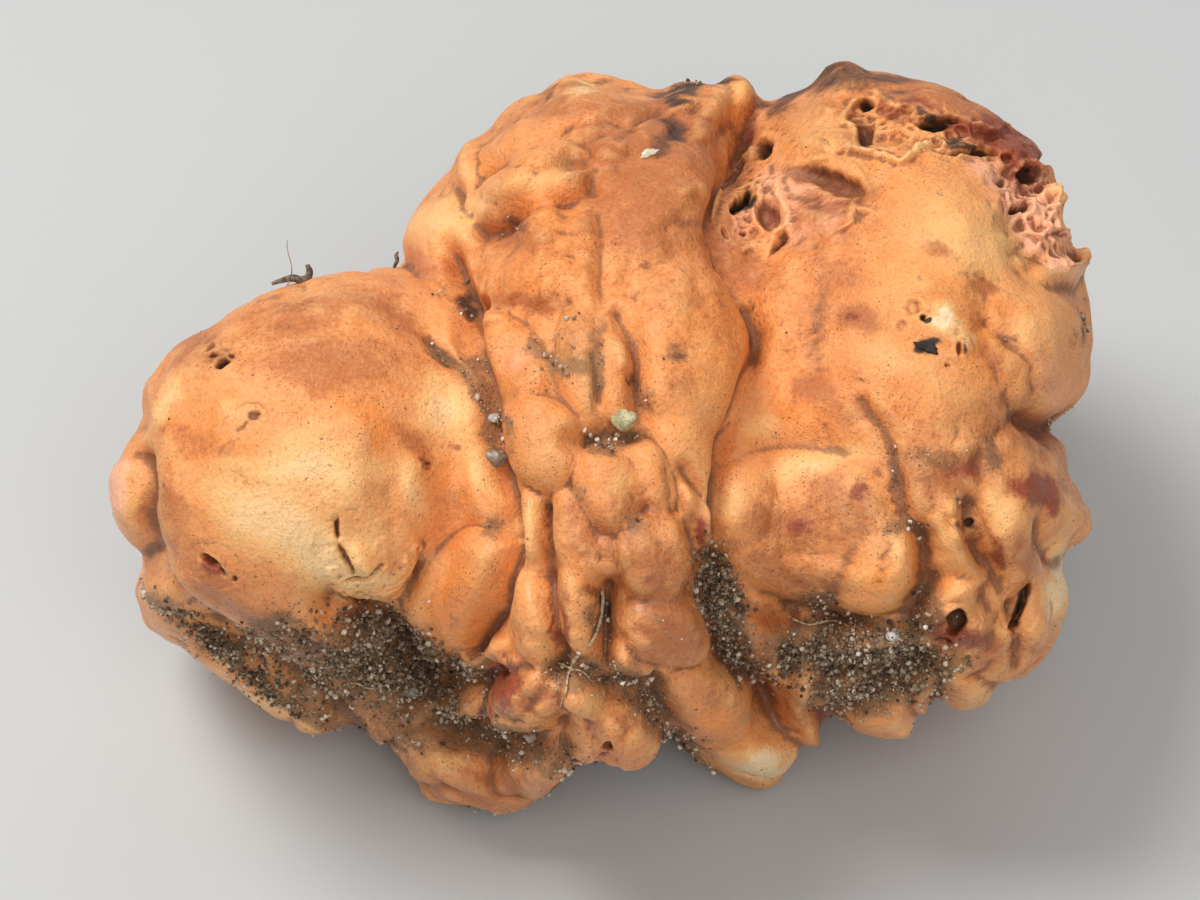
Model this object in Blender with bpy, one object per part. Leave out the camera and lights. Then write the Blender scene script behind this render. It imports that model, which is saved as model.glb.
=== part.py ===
"""Fruit body of the hypogeous fungus Hydnotrya tulasnei, lying on a surface, with the soil caught in its furrows.

The body is one solid. Swollen masses that run into one another give its bulk: each point of the bulk lies where
a ray from one heart point leaves the outermost mass. The bulk is drawn in or out until its outline, seen by an
eye in front of and above it, is the one in OUTLINE. Lobes then rise from it, furrows are pressed between them
and pits are sunk in them. Those on the near side are placed as that eye sees them, and the lobes of the far
side are scattered by a seeded rule.

Tables are in millimetres and degrees, measured from the heart point. The scene is in metres.
"""

import math

import bmesh
import bpy
import numpy as np
from mathutils import Matrix, Vector
from mathutils.bvhtree import BVHTree

MM = 0.001

# Driving dimensions
HEART_HEIGHT = 15.2
EYE_ELEVATION = 47.0
EYE_DISTANCE = 175.0
SOIL_GAP = 0.35
BODY_TRIANGLES = 8400
SPHERE_DIVISIONS = 7

# Swollen masses: centre x, y, z, then half sizes along x, y, z
MASSES = {
    "heart": (1.0, 1.0, -1.0, 16.0, 15.0, 13.0),
    "left_knob": (-13.9, -4.4, 3.4, 8.9, 9.6, 9.5),
    "left_brim": (-13.6, -1.4, -6.6, 9.4, 9.4, 8.8),
    "middle": (0.2, 0.3, 0.0, 8.3, 18.8, 15.5),
    "back_shoulder": (-2.4, 8.6, 2.4, 7.0, 8.4, 9.2),
    "saddle": (8.2, 12.0, 2.6, 4.2, 5.0, 6.6),
    "right": (14.9, 3.3, -0.1, 9.4, 18.1, 15.5),
    "front_left_foot": (-6.2, -8.2, -9.8, 4.6, 4.8, 4.8),
    "front_right_foot": (7.0, -7.4, -9.9, 3.7, 4.6, 4.6),
    "back_foot": (2.0, 10.5, -8.0, 10.0, 7.0, 7.4),
}

# Lobes as the eye sees them: across, up, half length, half width, turn, rise, and the power of the edge
# (at 0.5 the lobe is round with a steep edge, at 2 it is a soft swelling)
LEFT_LOBES = [
    (-14.3, 0.2, 9.9, 8.8, 45, 1.0, 0.5),
    (-7.2, -7.3, 3.6, 2.4, 65, 1.8, 0.5),
    (-9.3, 6.3, 3.6, 2.1, -35, 0.8, 0.82),
    (-11.3, -5.0, 2.7, 2.1, 30, 0.9, 0.57),
    (-11.8, -5.3, 1.2, 0.7, 120, 0.9, 0.61),
    (-6.4, -1.8, 2.4, 1.3, 100, 0.7, 0.65),
    (-23.6, -1.6, 3.4, 1.3, 95, 0.3, 0.57),
    (-21.6, -7.4, 2.6, 2.1, -55, 0.8, 0.57),
    (-18.7, -10.7, 2.9, 1.4, -38, 1.0, 0.57),
    (-16.4, -12.6, 2.0, 0.8, -22, 0.9, 0.54),
    (-14.1, -13.8, 1.7, 0.9, -33, 1.0, 0.54),
    (-14.6, -9.9, 2.2, 1.5, -30, 0.5, 0.82),
]
MIDDLE_TOP_LOBES = [
    (-8.0, 11.1, 2.5, 1.9, 40, 0.9, 0.61),
    (-6.5, 14.5, 2.4, 0.9, 62, 0.6, 0.61),
    (-3.5, 13.3, 3.6, 1.3, 24, 1.3, 0.54),
    (-4.0, 15.4, 2.7, 1.5, 18, 0.8, 0.65),
    (-1.4, 17.4, 2.9, 1.3, 3, 0.8, 0.65),
    (2.0, 17.4, 1.8, 1.2, -12, 0.5, 0.82),
    (3.9, 17.6, 1.4, 0.9, 10, 0.7, 0.57),
    (6.4, 17.3, 2.3, 1.5, -18, 1.1, 0.61),
    (3.4, 12.2, 4.4, 3.0, 95, 0.8, 1.2),
    (4.7, 4.9, 4.6, 2.9, 103, 1.5, 0.57),
    (4.7, -0.2, 3.2, 1.7, 103, 1.0, 0.61),
    (4.6, -3.6, 2.4, 0.8, 112, 1.4, 0.54),
    (-3.0, 9.9, 2.7, 1.9, 72, 0.8, 0.65),
    (-1.0, 9.6, 3.1, 0.9, 96, 0.5, 0.74),
    (-5.4, 9.4, 2.0, 1.2, 50, 0.4, 0.82),
    (-4.3, 4.4, 2.4, 1.7, 112, 1.0, 0.57),
    (-2.9, 0.4, 2.8, 2.0, 118, 1.6, 0.52),
    (-1.0, 4.6, 3.0, 1.2, 96, 0.7, 0.65),
    (0.8, 3.2, 2.2, 0.8, 100, 0.4, 0.74),
    (1.6, 15.4, 2.0, 1.0, 30, 0.4, 0.82),
]
MIDDLE_LOW_LOBES = [
    (0.6, -2.0, 2.4, 1.5, 112, 0.9, 0.61),
    (2.6, -1.7, 2.6, 0.9, 100, 0.9, 0.57),
    (2.7, -5.5, 2.4, 2.0, 90, 1.5, 0.54),
    (3.5, -8.9, 2.5, 1.9, -25, 1.4, 0.54),
    (-1.3, -4.4, 2.6, 1.2, 96, 0.8, 0.61),
    (-1.4, -8.2, 2.4, 1.1, 102, 1.3, 0.54),
    (-3.6, -3.8, 1.9, 0.9, 98, 0.7, 0.61),
    (-3.4, -8.6, 2.6, 1.3, 112, 1.1, 0.57),
    (-6.8, -10.9, 1.1, 0.9, 20, 0.8, 0.54),
    (-6.5, -12.8, 1.9, 1.2, 28, 0.9, 0.54),
    (-3.6, -12.6, 2.2, 1.5, 10, 0.9, 0.57),
    (-0.6, -12.7, 1.3, 0.8, -35, 1.0, 0.54),
    (1.2, -14.5, 1.9, 1.6, -20, 1.3, 0.54),
    (-0.9, -14.7, 1.2, 1.0, 60, 0.8, 0.54),
    (6.3, -13.4, 3.1, 2.2, -38, 1.2, 0.54),
    (7.9, -15.4, 2.3, 1.2, 4, 1.2, 0.5),
    (-7.2, -16.1, 2.3, 0.9, -26, 0.9, 0.54),
    (-3.8, -16.4, 2.2, 1.4, 10, 0.9, 0.54),
    (-9.1, -15.4, 1.6, 1.2, -45, 0.9, 0.54),
    (-10.6, -13.4, 1.9, 1.1, -30, 0.8, 0.57),
    (-5.4, -17.2, 2.9, 0.8, -5, 0.8, 0.54),
    (0.9, -10.9, 1.3, 1.1, 60, 0.6, 0.57),
]
RIGHT_TOP_LOBES = [
    (11.8, 18.2, 1.8, 1.2, 5, 1.1, 0.54),
    (10.3, 16.2, 2.7, 1.9, 25, 0.6, 0.82),
    (11.2, 11.7, 2.0, 1.0, 30, 0.4, 0.65),
    (14.4, 16.2, 1.4, 0.8, 10, 0.4, 0.57),
    (18.0, 17.3, 2.6, 0.7, -32, 0.5, 0.57),
    (19.0, 15.6, 1.4, 0.7, -10, 0.5, 0.57),
    (21.0, 15.0, 1.1, 0.7, -45, 0.5, 0.57),
    (16.0, 14.9, 1.6, 0.5, 8, 0.4, 0.57),
    (22.4, 12.3, 0.9, 0.8, 90, 0.5, 0.54),
    (22.0, 10.9, 1.0, 0.6, 0, 0.5, 0.54),
    (23.4, 9.3, 1.7, 0.8, 8, 0.8, 0.54),
    (22.2, 5.2, 4.2, 2.4, 100, 0.8, 0.65),
    (17.5, 12.0, 3.6, 2.0, -50, 0.5, 1.6),
    (16.4, 7.6, 3.2, 2.4, -20, 0.4, 2),
    (10.3, 2.3, 2.4, 1.6, 15, 0.4, 1.6),
    (9.2, 7.0, 3.2, 1.5, 80, 0.4, 1.4),
]
RIGHT_LOW_LOBES = [
    (10.1, -3.6, 4.8, 3.7, -14, 1.6, 0.57),
    (13.8, -6.1, 2.7, 2.0, 62, 1.7, 0.54),
    (21.7, -1.3, 2.7, 2.3, 60, 0.8, 0.74),
    (23.4, -3.6, 2.0, 1.1, 100, 0.8, 0.54),
    (20.9, -4.6, 3.2, 1.3, 115, 0.9, 0.57),
    (22.2, -7.2, 3.5, 1.3, 100, 0.9, 0.57),
    (20.3, -10.2, 2.5, 1.5, 42, 0.9, 0.57),
    (17.6, -5.0, 2.5, 1.0, -55, 0.8, 0.57),
    (16.2, -2.4, 2.4, 1.2, -70, 0.5, 0.74),
    (17.4, -7.6, 2.2, 0.8, 30, 0.8, 0.54),
    (18.2, -9.6, 2.0, 1.3, 75, 0.8, 0.57),
    (18.9, -12.0, 1.7, 1.1, -35, 1.2, 0.54),
    (16.9, -12.4, 1.2, 0.8, 95, 0.9, 0.54),
    (14.6, -13.4, 2.2, 1.2, 20, 1.1, 0.54),
    (10.2, -11.8, 2.0, 1.3, 82, 0.9, 0.54),
    (8.4, -9.6, 2.7, 1.4, 112, 0.9, 0.57),
    (13.4, -9.7, 2.3, 1.0, 8, 0.7, 0.57),
    (9.9, -13.8, 1.2, 1.0, 30, 0.8, 0.54),
    (12.3, -12.2, 1.6, 1.0, 30, 0.6, 0.57),
]
SEEN_LOBES = LEFT_LOBES + MIDDLE_TOP_LOBES + MIDDLE_LOW_LOBES + RIGHT_TOP_LOBES + RIGHT_LOW_LOBES

# Furrows as the eye sees them: width, depth, then points across, up
FURROWS = [
    (0.5, 1.2, [(8.5, 18.2), (7.6, 16.2), (7.2, 14.6), (5.9, 12.8), (5.4, 11.0), (5.9, 9.2), (7.5, 7.2)]),
    (0.45, 1.3, [(7.5, 7.2), (7.8, 6.0), (7.2, 3.6), (6.6, 0.4), (5.7, -1.8), (5.4, -3.8), (5.7, -5.6)]),
    (0.9, 1.8, [(5.7, -5.6), (6.1, -7.8), (6.6, -9.8), (7.6, -11.6), (8.9, -13.4)]),
    (0.6, 1.6, [(-7.4, 9.6), (-6.6, 7.6), (-6.3, 5.4), (-5.6, 3.2), (-5.4, 0.8), (-5.2, -1.4), (-4.6, -4.4)]),
    (0.8, 0.3, [(-10.6, 6.9), (-9.6, 6.3), (-8.6, 5.7)]),
    (0.4, 0.7, [(-8.7, 5.2), (-7.3, 4.5), (-6.2, 3.3)]),
    (0.5, 1.3, [(-23.2, -0.5), (-23.0, -3.4), (-22.2, -6.2), (-21.0, -8.0)]),
    (0.7, 1.6, [(-21.0, -8.0), (-19.0, -9.5), (-17.0, -11.1), (-15.4, -12.5), (-13.4, -13.4)]),
    (1.0, 1.8, [(-13.2, -7.6), (-11.6, -8.6), (-10.2, -9.6), (-8.6, -11.2), (-6.2, -11.6)]),
    (0.5, 1.2, [(-4.5, -5.0), (-4.9, -7.6), (-5.8, -9.6)]),
    (0.45, 1.0, [(-2.6, -3.0), (-2.7, -6.6), (-2.1, -9.0), (-2.0, -11.0)]),
    (0.5, 1.5, [(0.2, -6.8), (0.3, -8.6), (0.4, -10.4)]),
    (0.6, 1.2, [(-1.0, 0.2), (0.4, 0.9), (2.0, 0.9)]),
    (0.5, 0.3, [(-0.3, 11.6), (-0.2, 10.0), (0.1, 8.0)]),
    (0.45, 0.7, [(0.9, 7.2), (1.4, 5.0), (2.3, 2.6), (2.4, 0.8)]),
    (0.4, 0.6, [(3.9, -1.0), (4.6, -2.4), (4.2, -4.4), (4.8, -5.6)]),
    (0.8, 1.3, [(7.2, -7.9), (9.6, -8.3), (12.2, -9.0), (15.4, -8.9), (16.4, -6.8), (16.0, -4.4)]),
    (0.9, 1.1, [(9.6, -10.6), (12.6, -10.8), (16.2, -10.8)]),
    (0.35, 0.45, [(13.1, 2.5), (14.0, 1.0), (14.7, -1.0), (15.3, -3.4)]),
    (0.5, 0.9, [(18.4, -2.6), (18.2, -4.6), (19.6, -6.0)]),
    (0.4, 0.9, [(21.6, -6.8), (20.9, -8.6), (20.9, -10.4)]),
    (0.6, 1.2, [(24.0, 1.4), (22.8, 0.9), (21.8, 1.6)]),
    (0.45, 0.7, [(10.2, 14.1), (11.6, 14.0), (12.7, 12.9)]),
    (0.7, 0.8, [(13.0, 17.0), (15.4, 16.4), (17.6, 16.3), (19.8, 15.2)]),
    (0.6, 0.9, [(20.4, 14.2), (21.4, 13.4), (20.9, 12.1), (21.6, 10.9)]),
    (0.45, 0.7, [(-6.9, 13.4), (-6.8, 12.2), (-6.0, 11.2)]),
    (0.5, 0.6, [(-5.2, 11.3), (-3.8, 11.9), (-1.8, 12.7), (-0.6, 13.3)]),
    (0.9, 1.3, [(-7.2, -14.1), (-4.6, -14.8), (-2.4, -14.4)]),
    (0.8, 1.3, [(0.6, -12.0), (2.6, -12.4), (3.6, -14.2)]),
]

# Pits left by grazing animals and torn chambers, as the eye sees them: across, up, half length, half width, turn, depth
PITS = [
    (-12.1, -8.3, 1.3, 0.8, -30, 1.2),
    (-6.4, 7.2, 0.9, 0.6, 60, 1.0),
    (7.2, 12.5, 0.7, 0.5, 60, 1.0),
    (8.4, 11.4, 0.7, 0.5, 110, 1.0),
    (16.4, 16.3, 0.8, 0.5, -5, 0.9),
    (21.4, 13.7, 0.6, 0.5, 20, 1.0),
]

# The outline as the eye sees it: distances from OUTLINE_CENTRE every five degrees, turning left from straight left
OUTLINE_CENTRE = (0.0, 1.0)
OUTLINE = [
    23.6, 24.7, 24.8, 24.2, 24.9, 24.6, 23.4, 22.7, 22.1, 21.6, 20.3, 19.3,
    19.6, 20.4, 20.2, 19.9, 19.5, 17.7, 17.0, 17.2, 16.8, 17.4, 19.0, 19.8,
    19.6, 19.2, 20.4, 21.9, 22.5, 23.7, 24.9, 25.2, 25.0, 24.5, 25.3, 24.0,
    23.3, 24.7, 25.2, 25.5, 25.9, 25.9, 26.2, 26.0, 25.4, 24.6, 23.7, 22.7,
    21.6, 19.1, 19.0, 18.1, 17.5, 17.7, 17.9, 17.9, 17.3, 17.2, 16.4, 15.9,
    15.3, 14.8, 14.5, 14.0, 13.2, 14.7, 16.4, 17.8, 19.3, 20.8, 22.4, 23.1,
]
OUTLINE_REACH = 3.0

# Hidden side: a seeded scatter of lobes
HIDDEN_SEED = 11
HIDDEN_LOBES = 90
HIDDEN_HALF_WIDTH = (1.6, 3.4)
HIDDEN_STRETCH = (1.1, 2.1)
HIDDEN_RISE = (0.6, 1.7)

HIDDEN_EDGE = 0.6

# Blend between masses and between lobes, the wander of outlines, and the fine swell of the skin
MASS_BLEND = 4.5
LOBE_BLEND = 0.35
GRAZE = 0.97
WANDER = 0.45
WANDER_SCALE = 0.35
SWELL = 0.22
SWELL_SCALE = 0.32
EVEN_STEPS = 60
RELAX_STEPS = 8
LIFT_TO_EYE = 0.7

# Soil caught in the furrows, as the eye sees it: across, up, half length, half width, turn, thickness
SOIL = {
    "soil_left": (-10.8, -10.3, 4.2, 1.9, -26, 1.0),
    "soil_groove": (-17.8, -10.6, 3.3, 0.9, -38, 0.7),
    "soil_cleft": (6.2, -7.6, 2.4, 1.0, 105, 0.9),
    "soil_right": (13.2, -10.6, 4.0, 1.1, 2, 0.9),
}
SOIL_RINGS = 4
SOIL_SIDES = 16
SOIL_RIM = 0.35
SOIL_SPREAD = 0.45

FLESH = ((0.78, 0.45, 0.22, 1.0), 0.5)
EARTH = ((0.12, 0.10, 0.08, 1.0), 0.95)

elevation = math.radians(EYE_ELEVATION)
ACROSS = np.array([1.0, 0.0, 0.0])
UP = np.array([0.0, math.sin(elevation), math.cos(elevation)])
TOWARD = np.array([0.0, -math.cos(elevation), math.sin(elevation)])


def clear_scene():
    for item in list(bpy.data.objects):
        bpy.data.objects.remove(item)


def hashed(cells):
    """A repeatable number from 0 to 1 for each whole-numbered cell."""
    mixed = cells[..., 0] * 374761393 + cells[..., 1] * 668265263 + cells[..., 2] * 1274126177
    mixed = (mixed ^ (mixed >> 13)) * 1103515245 & 0x7FFFFFFF
    return ((mixed ^ (mixed >> 15)) & 0xFFFF) / 65535.0


def noise(points):
    """Smooth noise from -1 to 1: eight cell values blended by the point's place in its cell."""
    floor = np.floor(points).astype(np.int64)
    place = points - floor
    place = place * place * (3.0 - 2.0 * place)
    total = 0.0
    for corner in np.ndindex(2, 2, 2):
        weight = np.prod(np.where(corner, place, 1.0 - place), axis=-1)
        total = total + weight * hashed(floor + np.array(corner))
    return total * 2.0 - 1.0


def ellipsoid(centre, axes, half_sizes):
    return np.array(centre, float), np.array(axes, float) / np.array(half_sizes, float)[:, None]


def exit_distance(directions, form):
    """How far along each ray from the heart the ellipsoid ends. Past its edge it falls away steeply."""
    centre, to_unit = form
    start = -to_unit @ centre
    step = directions @ to_unit.T
    length = np.linalg.norm(step, axis=-1)
    middle = -(step @ start) / length
    miss = np.sqrt(np.maximum(start @ start - middle * middle, 0.0))
    edge = math.sqrt(1.0 - GRAZE * GRAZE)
    inside = np.sqrt(np.maximum(1.0 - miss * miss, 0.0))
    beyond = edge - GRAZE / edge * (miss - GRAZE)
    return (middle + np.where(miss < GRAZE, inside, beyond)) / length


def soft_max(first, second, blend):
    meet = np.maximum(blend - np.abs(first - second), 0.0) / blend
    return np.maximum(first, second) + meet * meet * blend / 4.0


def mass_forms():
    return [ellipsoid(row[:3], np.eye(3), row[3:]) for row in MASSES.values()]


def nearest_hit(start, direction, forms):
    """Where a ray first meets the masses, and the outward normal there."""
    best = None
    for centre, to_unit in forms:
        origin = to_unit @ (start - centre)
        step = to_unit @ direction
        a, b, c = step @ step, origin @ step, origin @ origin - 1.0
        inside = b * b - a * c
        if inside < 0.0:
            continue
        distance = (-b - math.sqrt(inside)) / a
        if distance > 0.0 and (best is None or distance < best[0]):
            point = start + distance * direction
            normal = to_unit.T @ (to_unit @ (point - centre))
            best = (distance, point, normal / np.linalg.norm(normal))
    return best


def sight_ray(across, up):
    eye = TOWARD * EYE_DISTANCE
    aim = across * ACROSS + up * UP - eye
    return eye, aim / np.linalg.norm(aim)


def hidden_lobes(masses):
    """Lobes spread evenly over the side turned from the eye, each with its own size and turn."""
    draw = np.random.default_rng(HIDDEN_SEED)
    golden = math.pi * (3.0 - math.sqrt(5.0))
    lobes = []
    for i in range(HIDDEN_LOBES):
        height = 1.0 - 2.0 * (i + 0.5) / HIDDEN_LOBES
        ring = math.sqrt(1.0 - height * height)
        outward = np.array([ring * math.cos(golden * i), ring * math.sin(golden * i), height])
        outward = outward + draw.normal(0.0, 0.08, 3)
        outward = outward / np.linalg.norm(outward)
        half_width = draw.uniform(*HIDDEN_HALF_WIDTH)
        half_length = half_width * draw.uniform(*HIDDEN_STRETCH)
        rise = draw.uniform(*HIDDEN_RISE)
        along = draw.normal(0.0, 1.0, 3)
        if outward @ TOWARD > 0.1:
            continue
        point, normal = nearest_hit(outward * EYE_DISTANCE, -outward, masses)[1:]
        along = along - normal * (along @ normal)
        along = along / np.linalg.norm(along)
        lobes.append((point, along, np.cross(normal, along), half_length, half_width, rise))
    return lobes


def seen_places(points):
    """Where the eye sees each point: across and up, at the heart's scale."""
    scale = 1.0 / (1.0 - points @ TOWARD / EYE_DISTANCE)
    return np.stack([points @ ACROSS * scale, points @ UP * scale], axis=-1), scale


def oval_distance(along, beside, half_length, half_width):
    return np.sqrt((along / half_length) ** 2 + (beside / half_width) ** 2)


def turned(away, turn):
    angle = math.radians(turn)
    along = away[:, 0] * math.cos(angle) + away[:, 1] * math.sin(angle)
    beside = away[:, 1] * math.cos(angle) - away[:, 0] * math.sin(angle)
    return along, beside


def dome(distance, edge):
    return np.maximum(1.0 - distance**2, 0.0) ** edge


def risen(points, seen, facing, masses):
    """How far the lobes lift each point: the highest of them, blended where two meet."""
    lift = np.zeros(len(points))
    for across, up, half_length, half_width, turn, rise, edge in SEEN_LOBES:
        along, beside = turned(seen - np.array([across, up]), turn)
        height = rise * dome(oval_distance(along, beside, half_length, half_width), edge) * facing
        lift = np.where(height > 0.0, soft_max(lift, height, LOBE_BLEND), lift)
    for point, first, second, half_length, half_width, rise in hidden_lobes(masses):
        away = points - point
        near = np.linalg.norm(away, axis=-1) < 2.0 * half_length
        distance = oval_distance(away @ first, away @ second, half_length, half_width)
        height = rise * dome(distance, HIDDEN_EDGE) * near * (1.0 - facing)
        lift = np.where(height > 0.0, soft_max(lift, height, LOBE_BLEND), lift)
    return lift


def pressed_in(seen, facing):
    """How far furrows and pits press the near side in."""
    pressed = np.zeros(len(seen))
    for width, depth, line in FURROWS:
        nearest = np.full(len(seen), np.inf)
        for begin, end in zip(line[:-1], line[1:]):
            begin, run = np.array(begin), np.array(end) - np.array(begin)
            share = np.clip((seen - begin) @ run / (run @ run), 0.0, 1.0)
            nearest = np.minimum(nearest, np.linalg.norm(seen - begin - share[:, None] * run, axis=-1))
        pressed = np.maximum(pressed, depth * np.exp(-((nearest / width) ** 2)))
    for across, up, half_length, half_width, turn, depth in PITS:
        along, beside = turned(seen - np.array([across, up]), turn)
        distance = oval_distance(along, beside, half_length, half_width)
        pressed = np.maximum(pressed, depth * np.exp(-(distance**4)))
    return pressed * facing


def fitted_to_outline(points):
    """Points moved across the line of sight, most at the rim, so that the rim falls on OUTLINE."""
    seen, scale = seen_places(points)
    away = seen - np.array(OUTLINE_CENTRE)
    span = np.linalg.norm(away, axis=-1)
    turn = np.degrees(np.arctan2(away[:, 1], away[:, 0]))
    step = 360.0 / len(OUTLINE)
    places = (turn + 180.0) / step
    above = points[:, 2] > -HEART_HEIGHT
    rim = np.zeros(len(OUTLINE))
    np.maximum.at(rim, np.rint(places[above]).astype(int) % len(OUTLINE), span[above])
    ratio = np.append(np.array(OUTLINE) / rim, OUTLINE[0] / rim[0])
    rim = np.append(rim, rim[0])
    bins = np.arange(len(OUTLINE) + 1)
    nearness = np.minimum(span / np.interp(places, bins, rim), 1.0) ** OUTLINE_REACH
    shift = away * ((np.interp(places, bins, ratio) - 1.0) * nearness / scale)[:, None]
    return points + shift[:, :1] * ACROSS + shift[:, 1:] * UP


def relaxed(points, edges, steps):
    """Points drawn halfway to the mean of their neighbours, again and again."""
    count = np.bincount(edges.ravel(), minlength=len(points))[:, None]
    for _ in range(steps):
        total = np.zeros_like(points)
        np.add.at(total, edges[:, 0], points[edges[:, 1]])
        np.add.at(total, edges[:, 1], points[edges[:, 0]])
        points = 0.5 * (points + total / count)
    return points


def outward_normals(points, faces):
    first, second, third = points[faces[:, 0]], points[faces[:, 1]], points[faces[:, 2]]
    across_face = np.cross(second - first, third - first)
    normals = np.zeros_like(points)
    for corner in range(3):
        np.add.at(normals, faces[:, corner], across_face)
    return normals / np.linalg.norm(normals, axis=1, keepdims=True)


def bulk(directions, masses):
    """Where rays from the heart leave the outermost mass, blended where two masses meet."""
    radius = exit_distance(directions, masses[0])
    for form in masses[1:]:
        radius = soft_max(radius, exit_distance(directions, form), MASS_BLEND)
    return directions * radius[:, None]


def surface(directions, edges, faces):
    """The body's surface points, spread evenly over it, in millimetres from the heart."""
    masses = mass_forms()
    for _ in range(EVEN_STEPS):
        points = relaxed(bulk(directions, masses), edges, 1)
        directions = points / np.linalg.norm(points, axis=1, keepdims=True)
    points = relaxed(fitted_to_outline(bulk(directions, masses)), edges, RELAX_STEPS)
    normals = outward_normals(points, faces)
    facing = np.clip((normals @ TOWARD + 0.15) / 0.3, 0.0, 1.0)
    nudge = np.stack([noise(points * WANDER_SCALE + place) for place in (7.3, 31.7)], axis=-1)
    seen = seen_places(points)[0] + WANDER * nudge
    lift = risen(points, seen, facing, masses) - pressed_in(seen, facing) + SWELL * noise(points * SWELL_SCALE)
    outward = normals + LIFT_TO_EYE * facing[:, None] * TOWARD
    outward = outward / np.linalg.norm(outward, axis=1, keepdims=True)
    return fitted_to_outline(relaxed(points + outward * lift[:, None], edges, 1))


def heart():
    return np.array([0.0, 0.0, HEART_HEIGHT])


def link(name, mesh):
    made = bpy.data.objects.new(name, mesh)
    bpy.context.scene.collection.objects.link(made)
    return made


def material(name, finish):
    made = bpy.data.materials.new(name)
    made.use_nodes = True
    made.diffuse_color = finish[0]
    shader = made.node_tree.nodes["Principled BSDF"]
    shader.inputs["Base Color"].default_value = finish[0]
    shader.inputs["Roughness"].default_value = finish[1]
    return made


def cutter(name, mesh):
    made = link(name, mesh)
    made.hide_render = True
    made.display_type = "WIRE"
    return made


def ground_cutter():
    """A block whose top is the surface that the body lies on."""
    side, depth = 80.0 * MM, 20.0 * MM
    bm = bmesh.new()
    bmesh.ops.create_cube(bm, size=1.0)
    bmesh.ops.scale(bm, vec=(side, side, depth), verts=bm.verts)
    bmesh.ops.translate(bm, vec=(0.0, 0.0, -depth / 2), verts=bm.verts)
    mesh = bpy.data.meshes.new("ground")
    bm.to_mesh(mesh)
    bm.free()
    return cutter("ground_cutter", mesh)


def read_array(items, name, width, kind):
    values = np.empty(len(items) * width, kind)
    items.foreach_get(name, values)
    return values.reshape(-1, width)


def fungus_body():
    """A fine sphere drawn out to the lobed surface, thinned, and cut flat where it rests."""
    bm = bmesh.new()
    bmesh.ops.create_icosphere(bm, subdivisions=SPHERE_DIVISIONS, radius=1.0)
    mesh = bpy.data.meshes.new("fruit_body")
    bm.to_mesh(mesh)
    bm.free()
    directions = read_array(mesh.vertices, "co", 3, float)
    directions /= np.linalg.norm(directions, axis=1, keepdims=True)
    edges = read_array(mesh.edges, "vertices", 2, int)
    faces = read_array(mesh.polygons, "vertices", 3, int)
    places = heart() + surface(directions, edges, faces)
    mesh.vertices.foreach_set("co", (places * MM).ravel())
    mesh.shade_smooth()
    mesh.update()
    body = link("fruit_body", mesh)
    body.data.materials.append(material("flesh", FLESH))
    thin = body.modifiers.new("thin", "DECIMATE")
    thin.ratio = BODY_TRIANGLES / len(mesh.polygons)
    rest = body.modifiers.new("rest", "BOOLEAN")
    rest.operation = "DIFFERENCE"
    rest.object = ground_cutter()
    return body


def finished_mesh(made):
    bpy.context.view_layer.update()
    return made.evaluated_get(bpy.context.evaluated_depsgraph_get()).to_mesh()


def body_tree(body):
    """The finished body, ready to be met by rays."""
    bm = bmesh.new()
    bm.from_mesh(finished_mesh(body))
    tree = BVHTree.FromBMesh(bm)
    bm.free()
    return tree


def met_distance(across, up, tree):
    """How far from the eye the body begins near a place: the least over the place and a ring round it."""
    eye = Vector((heart() + TOWARD * EYE_DISTANCE) * MM)
    nearest = None
    for k in range(9):
        reach = SOIL_SPREAD if k else 0.0
        turn = math.pi * k / 4.0
        ray = sight_ray(across + reach * math.cos(turn), up + reach * math.sin(turn))[1]
        distance = tree.ray_cast(eye, Vector(ray))[3]
        if distance is not None and (nearest is None or distance < nearest):
            nearest = distance
    return nearest / MM


def soil_clod(name, place, tree):
    """A crust lying in front of the body: an under side that follows it at the gap, and a rounded top."""
    across, up, half_length, half_width, turn, thickness = place
    angle = math.radians(turn)
    under, over = [], []
    for i in range(SOIL_RINGS + 1):
        for j in range(SOIL_SIDES if i else 1):
            round_ = 2.0 * math.pi * j / SOIL_SIDES
            reach = i / SOIL_RINGS * (1.0 + 0.14 * math.sin(3.0 * round_ + across) + 0.08 * math.sin(5.0 * round_))
            along, beside = half_length * reach * math.cos(round_), half_width * reach * math.sin(round_)
            seen_across = across + along * math.cos(angle) - beside * math.sin(angle)
            seen_up = up + along * math.sin(angle) + beside * math.cos(angle)
            eye, ray = sight_ray(seen_across, seen_up)
            near = met_distance(seen_across, seen_up, tree) - SOIL_GAP
            height = SOIL_RIM + (thickness - SOIL_RIM) * (1.0 - (i / SOIL_RINGS) ** 2)
            under.append((heart() + eye + ray * near) * MM)
            over.append((heart() + eye + ray * (near - height)) * MM)
    faces = []
    count = len(under)
    for j in range(SOIL_SIDES):
        k = (j + 1) % SOIL_SIDES
        faces += [(0, 1 + k, 1 + j), (count, count + 1 + j, count + 1 + k)]
        for i in range(1, SOIL_RINGS):
            a, b = 1 + (i - 1) * SOIL_SIDES, 1 + i * SOIL_SIDES
            faces += [(a + j, a + k, b + k, b + j)]
            faces += [(count + a + j, count + b + j, count + b + k, count + a + k)]
        a = 1 + (SOIL_RINGS - 1) * SOIL_SIDES
        faces += [(a + j, a + k, count + a + k, count + a + j)]
    mesh = bpy.data.meshes.new(name)
    mesh.from_pydata(under + over, [], faces)
    mesh.validate()
    clod = link(name, mesh)
    clod.data.materials.append(material(name + "_earth", EARTH))
    return clod


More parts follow.
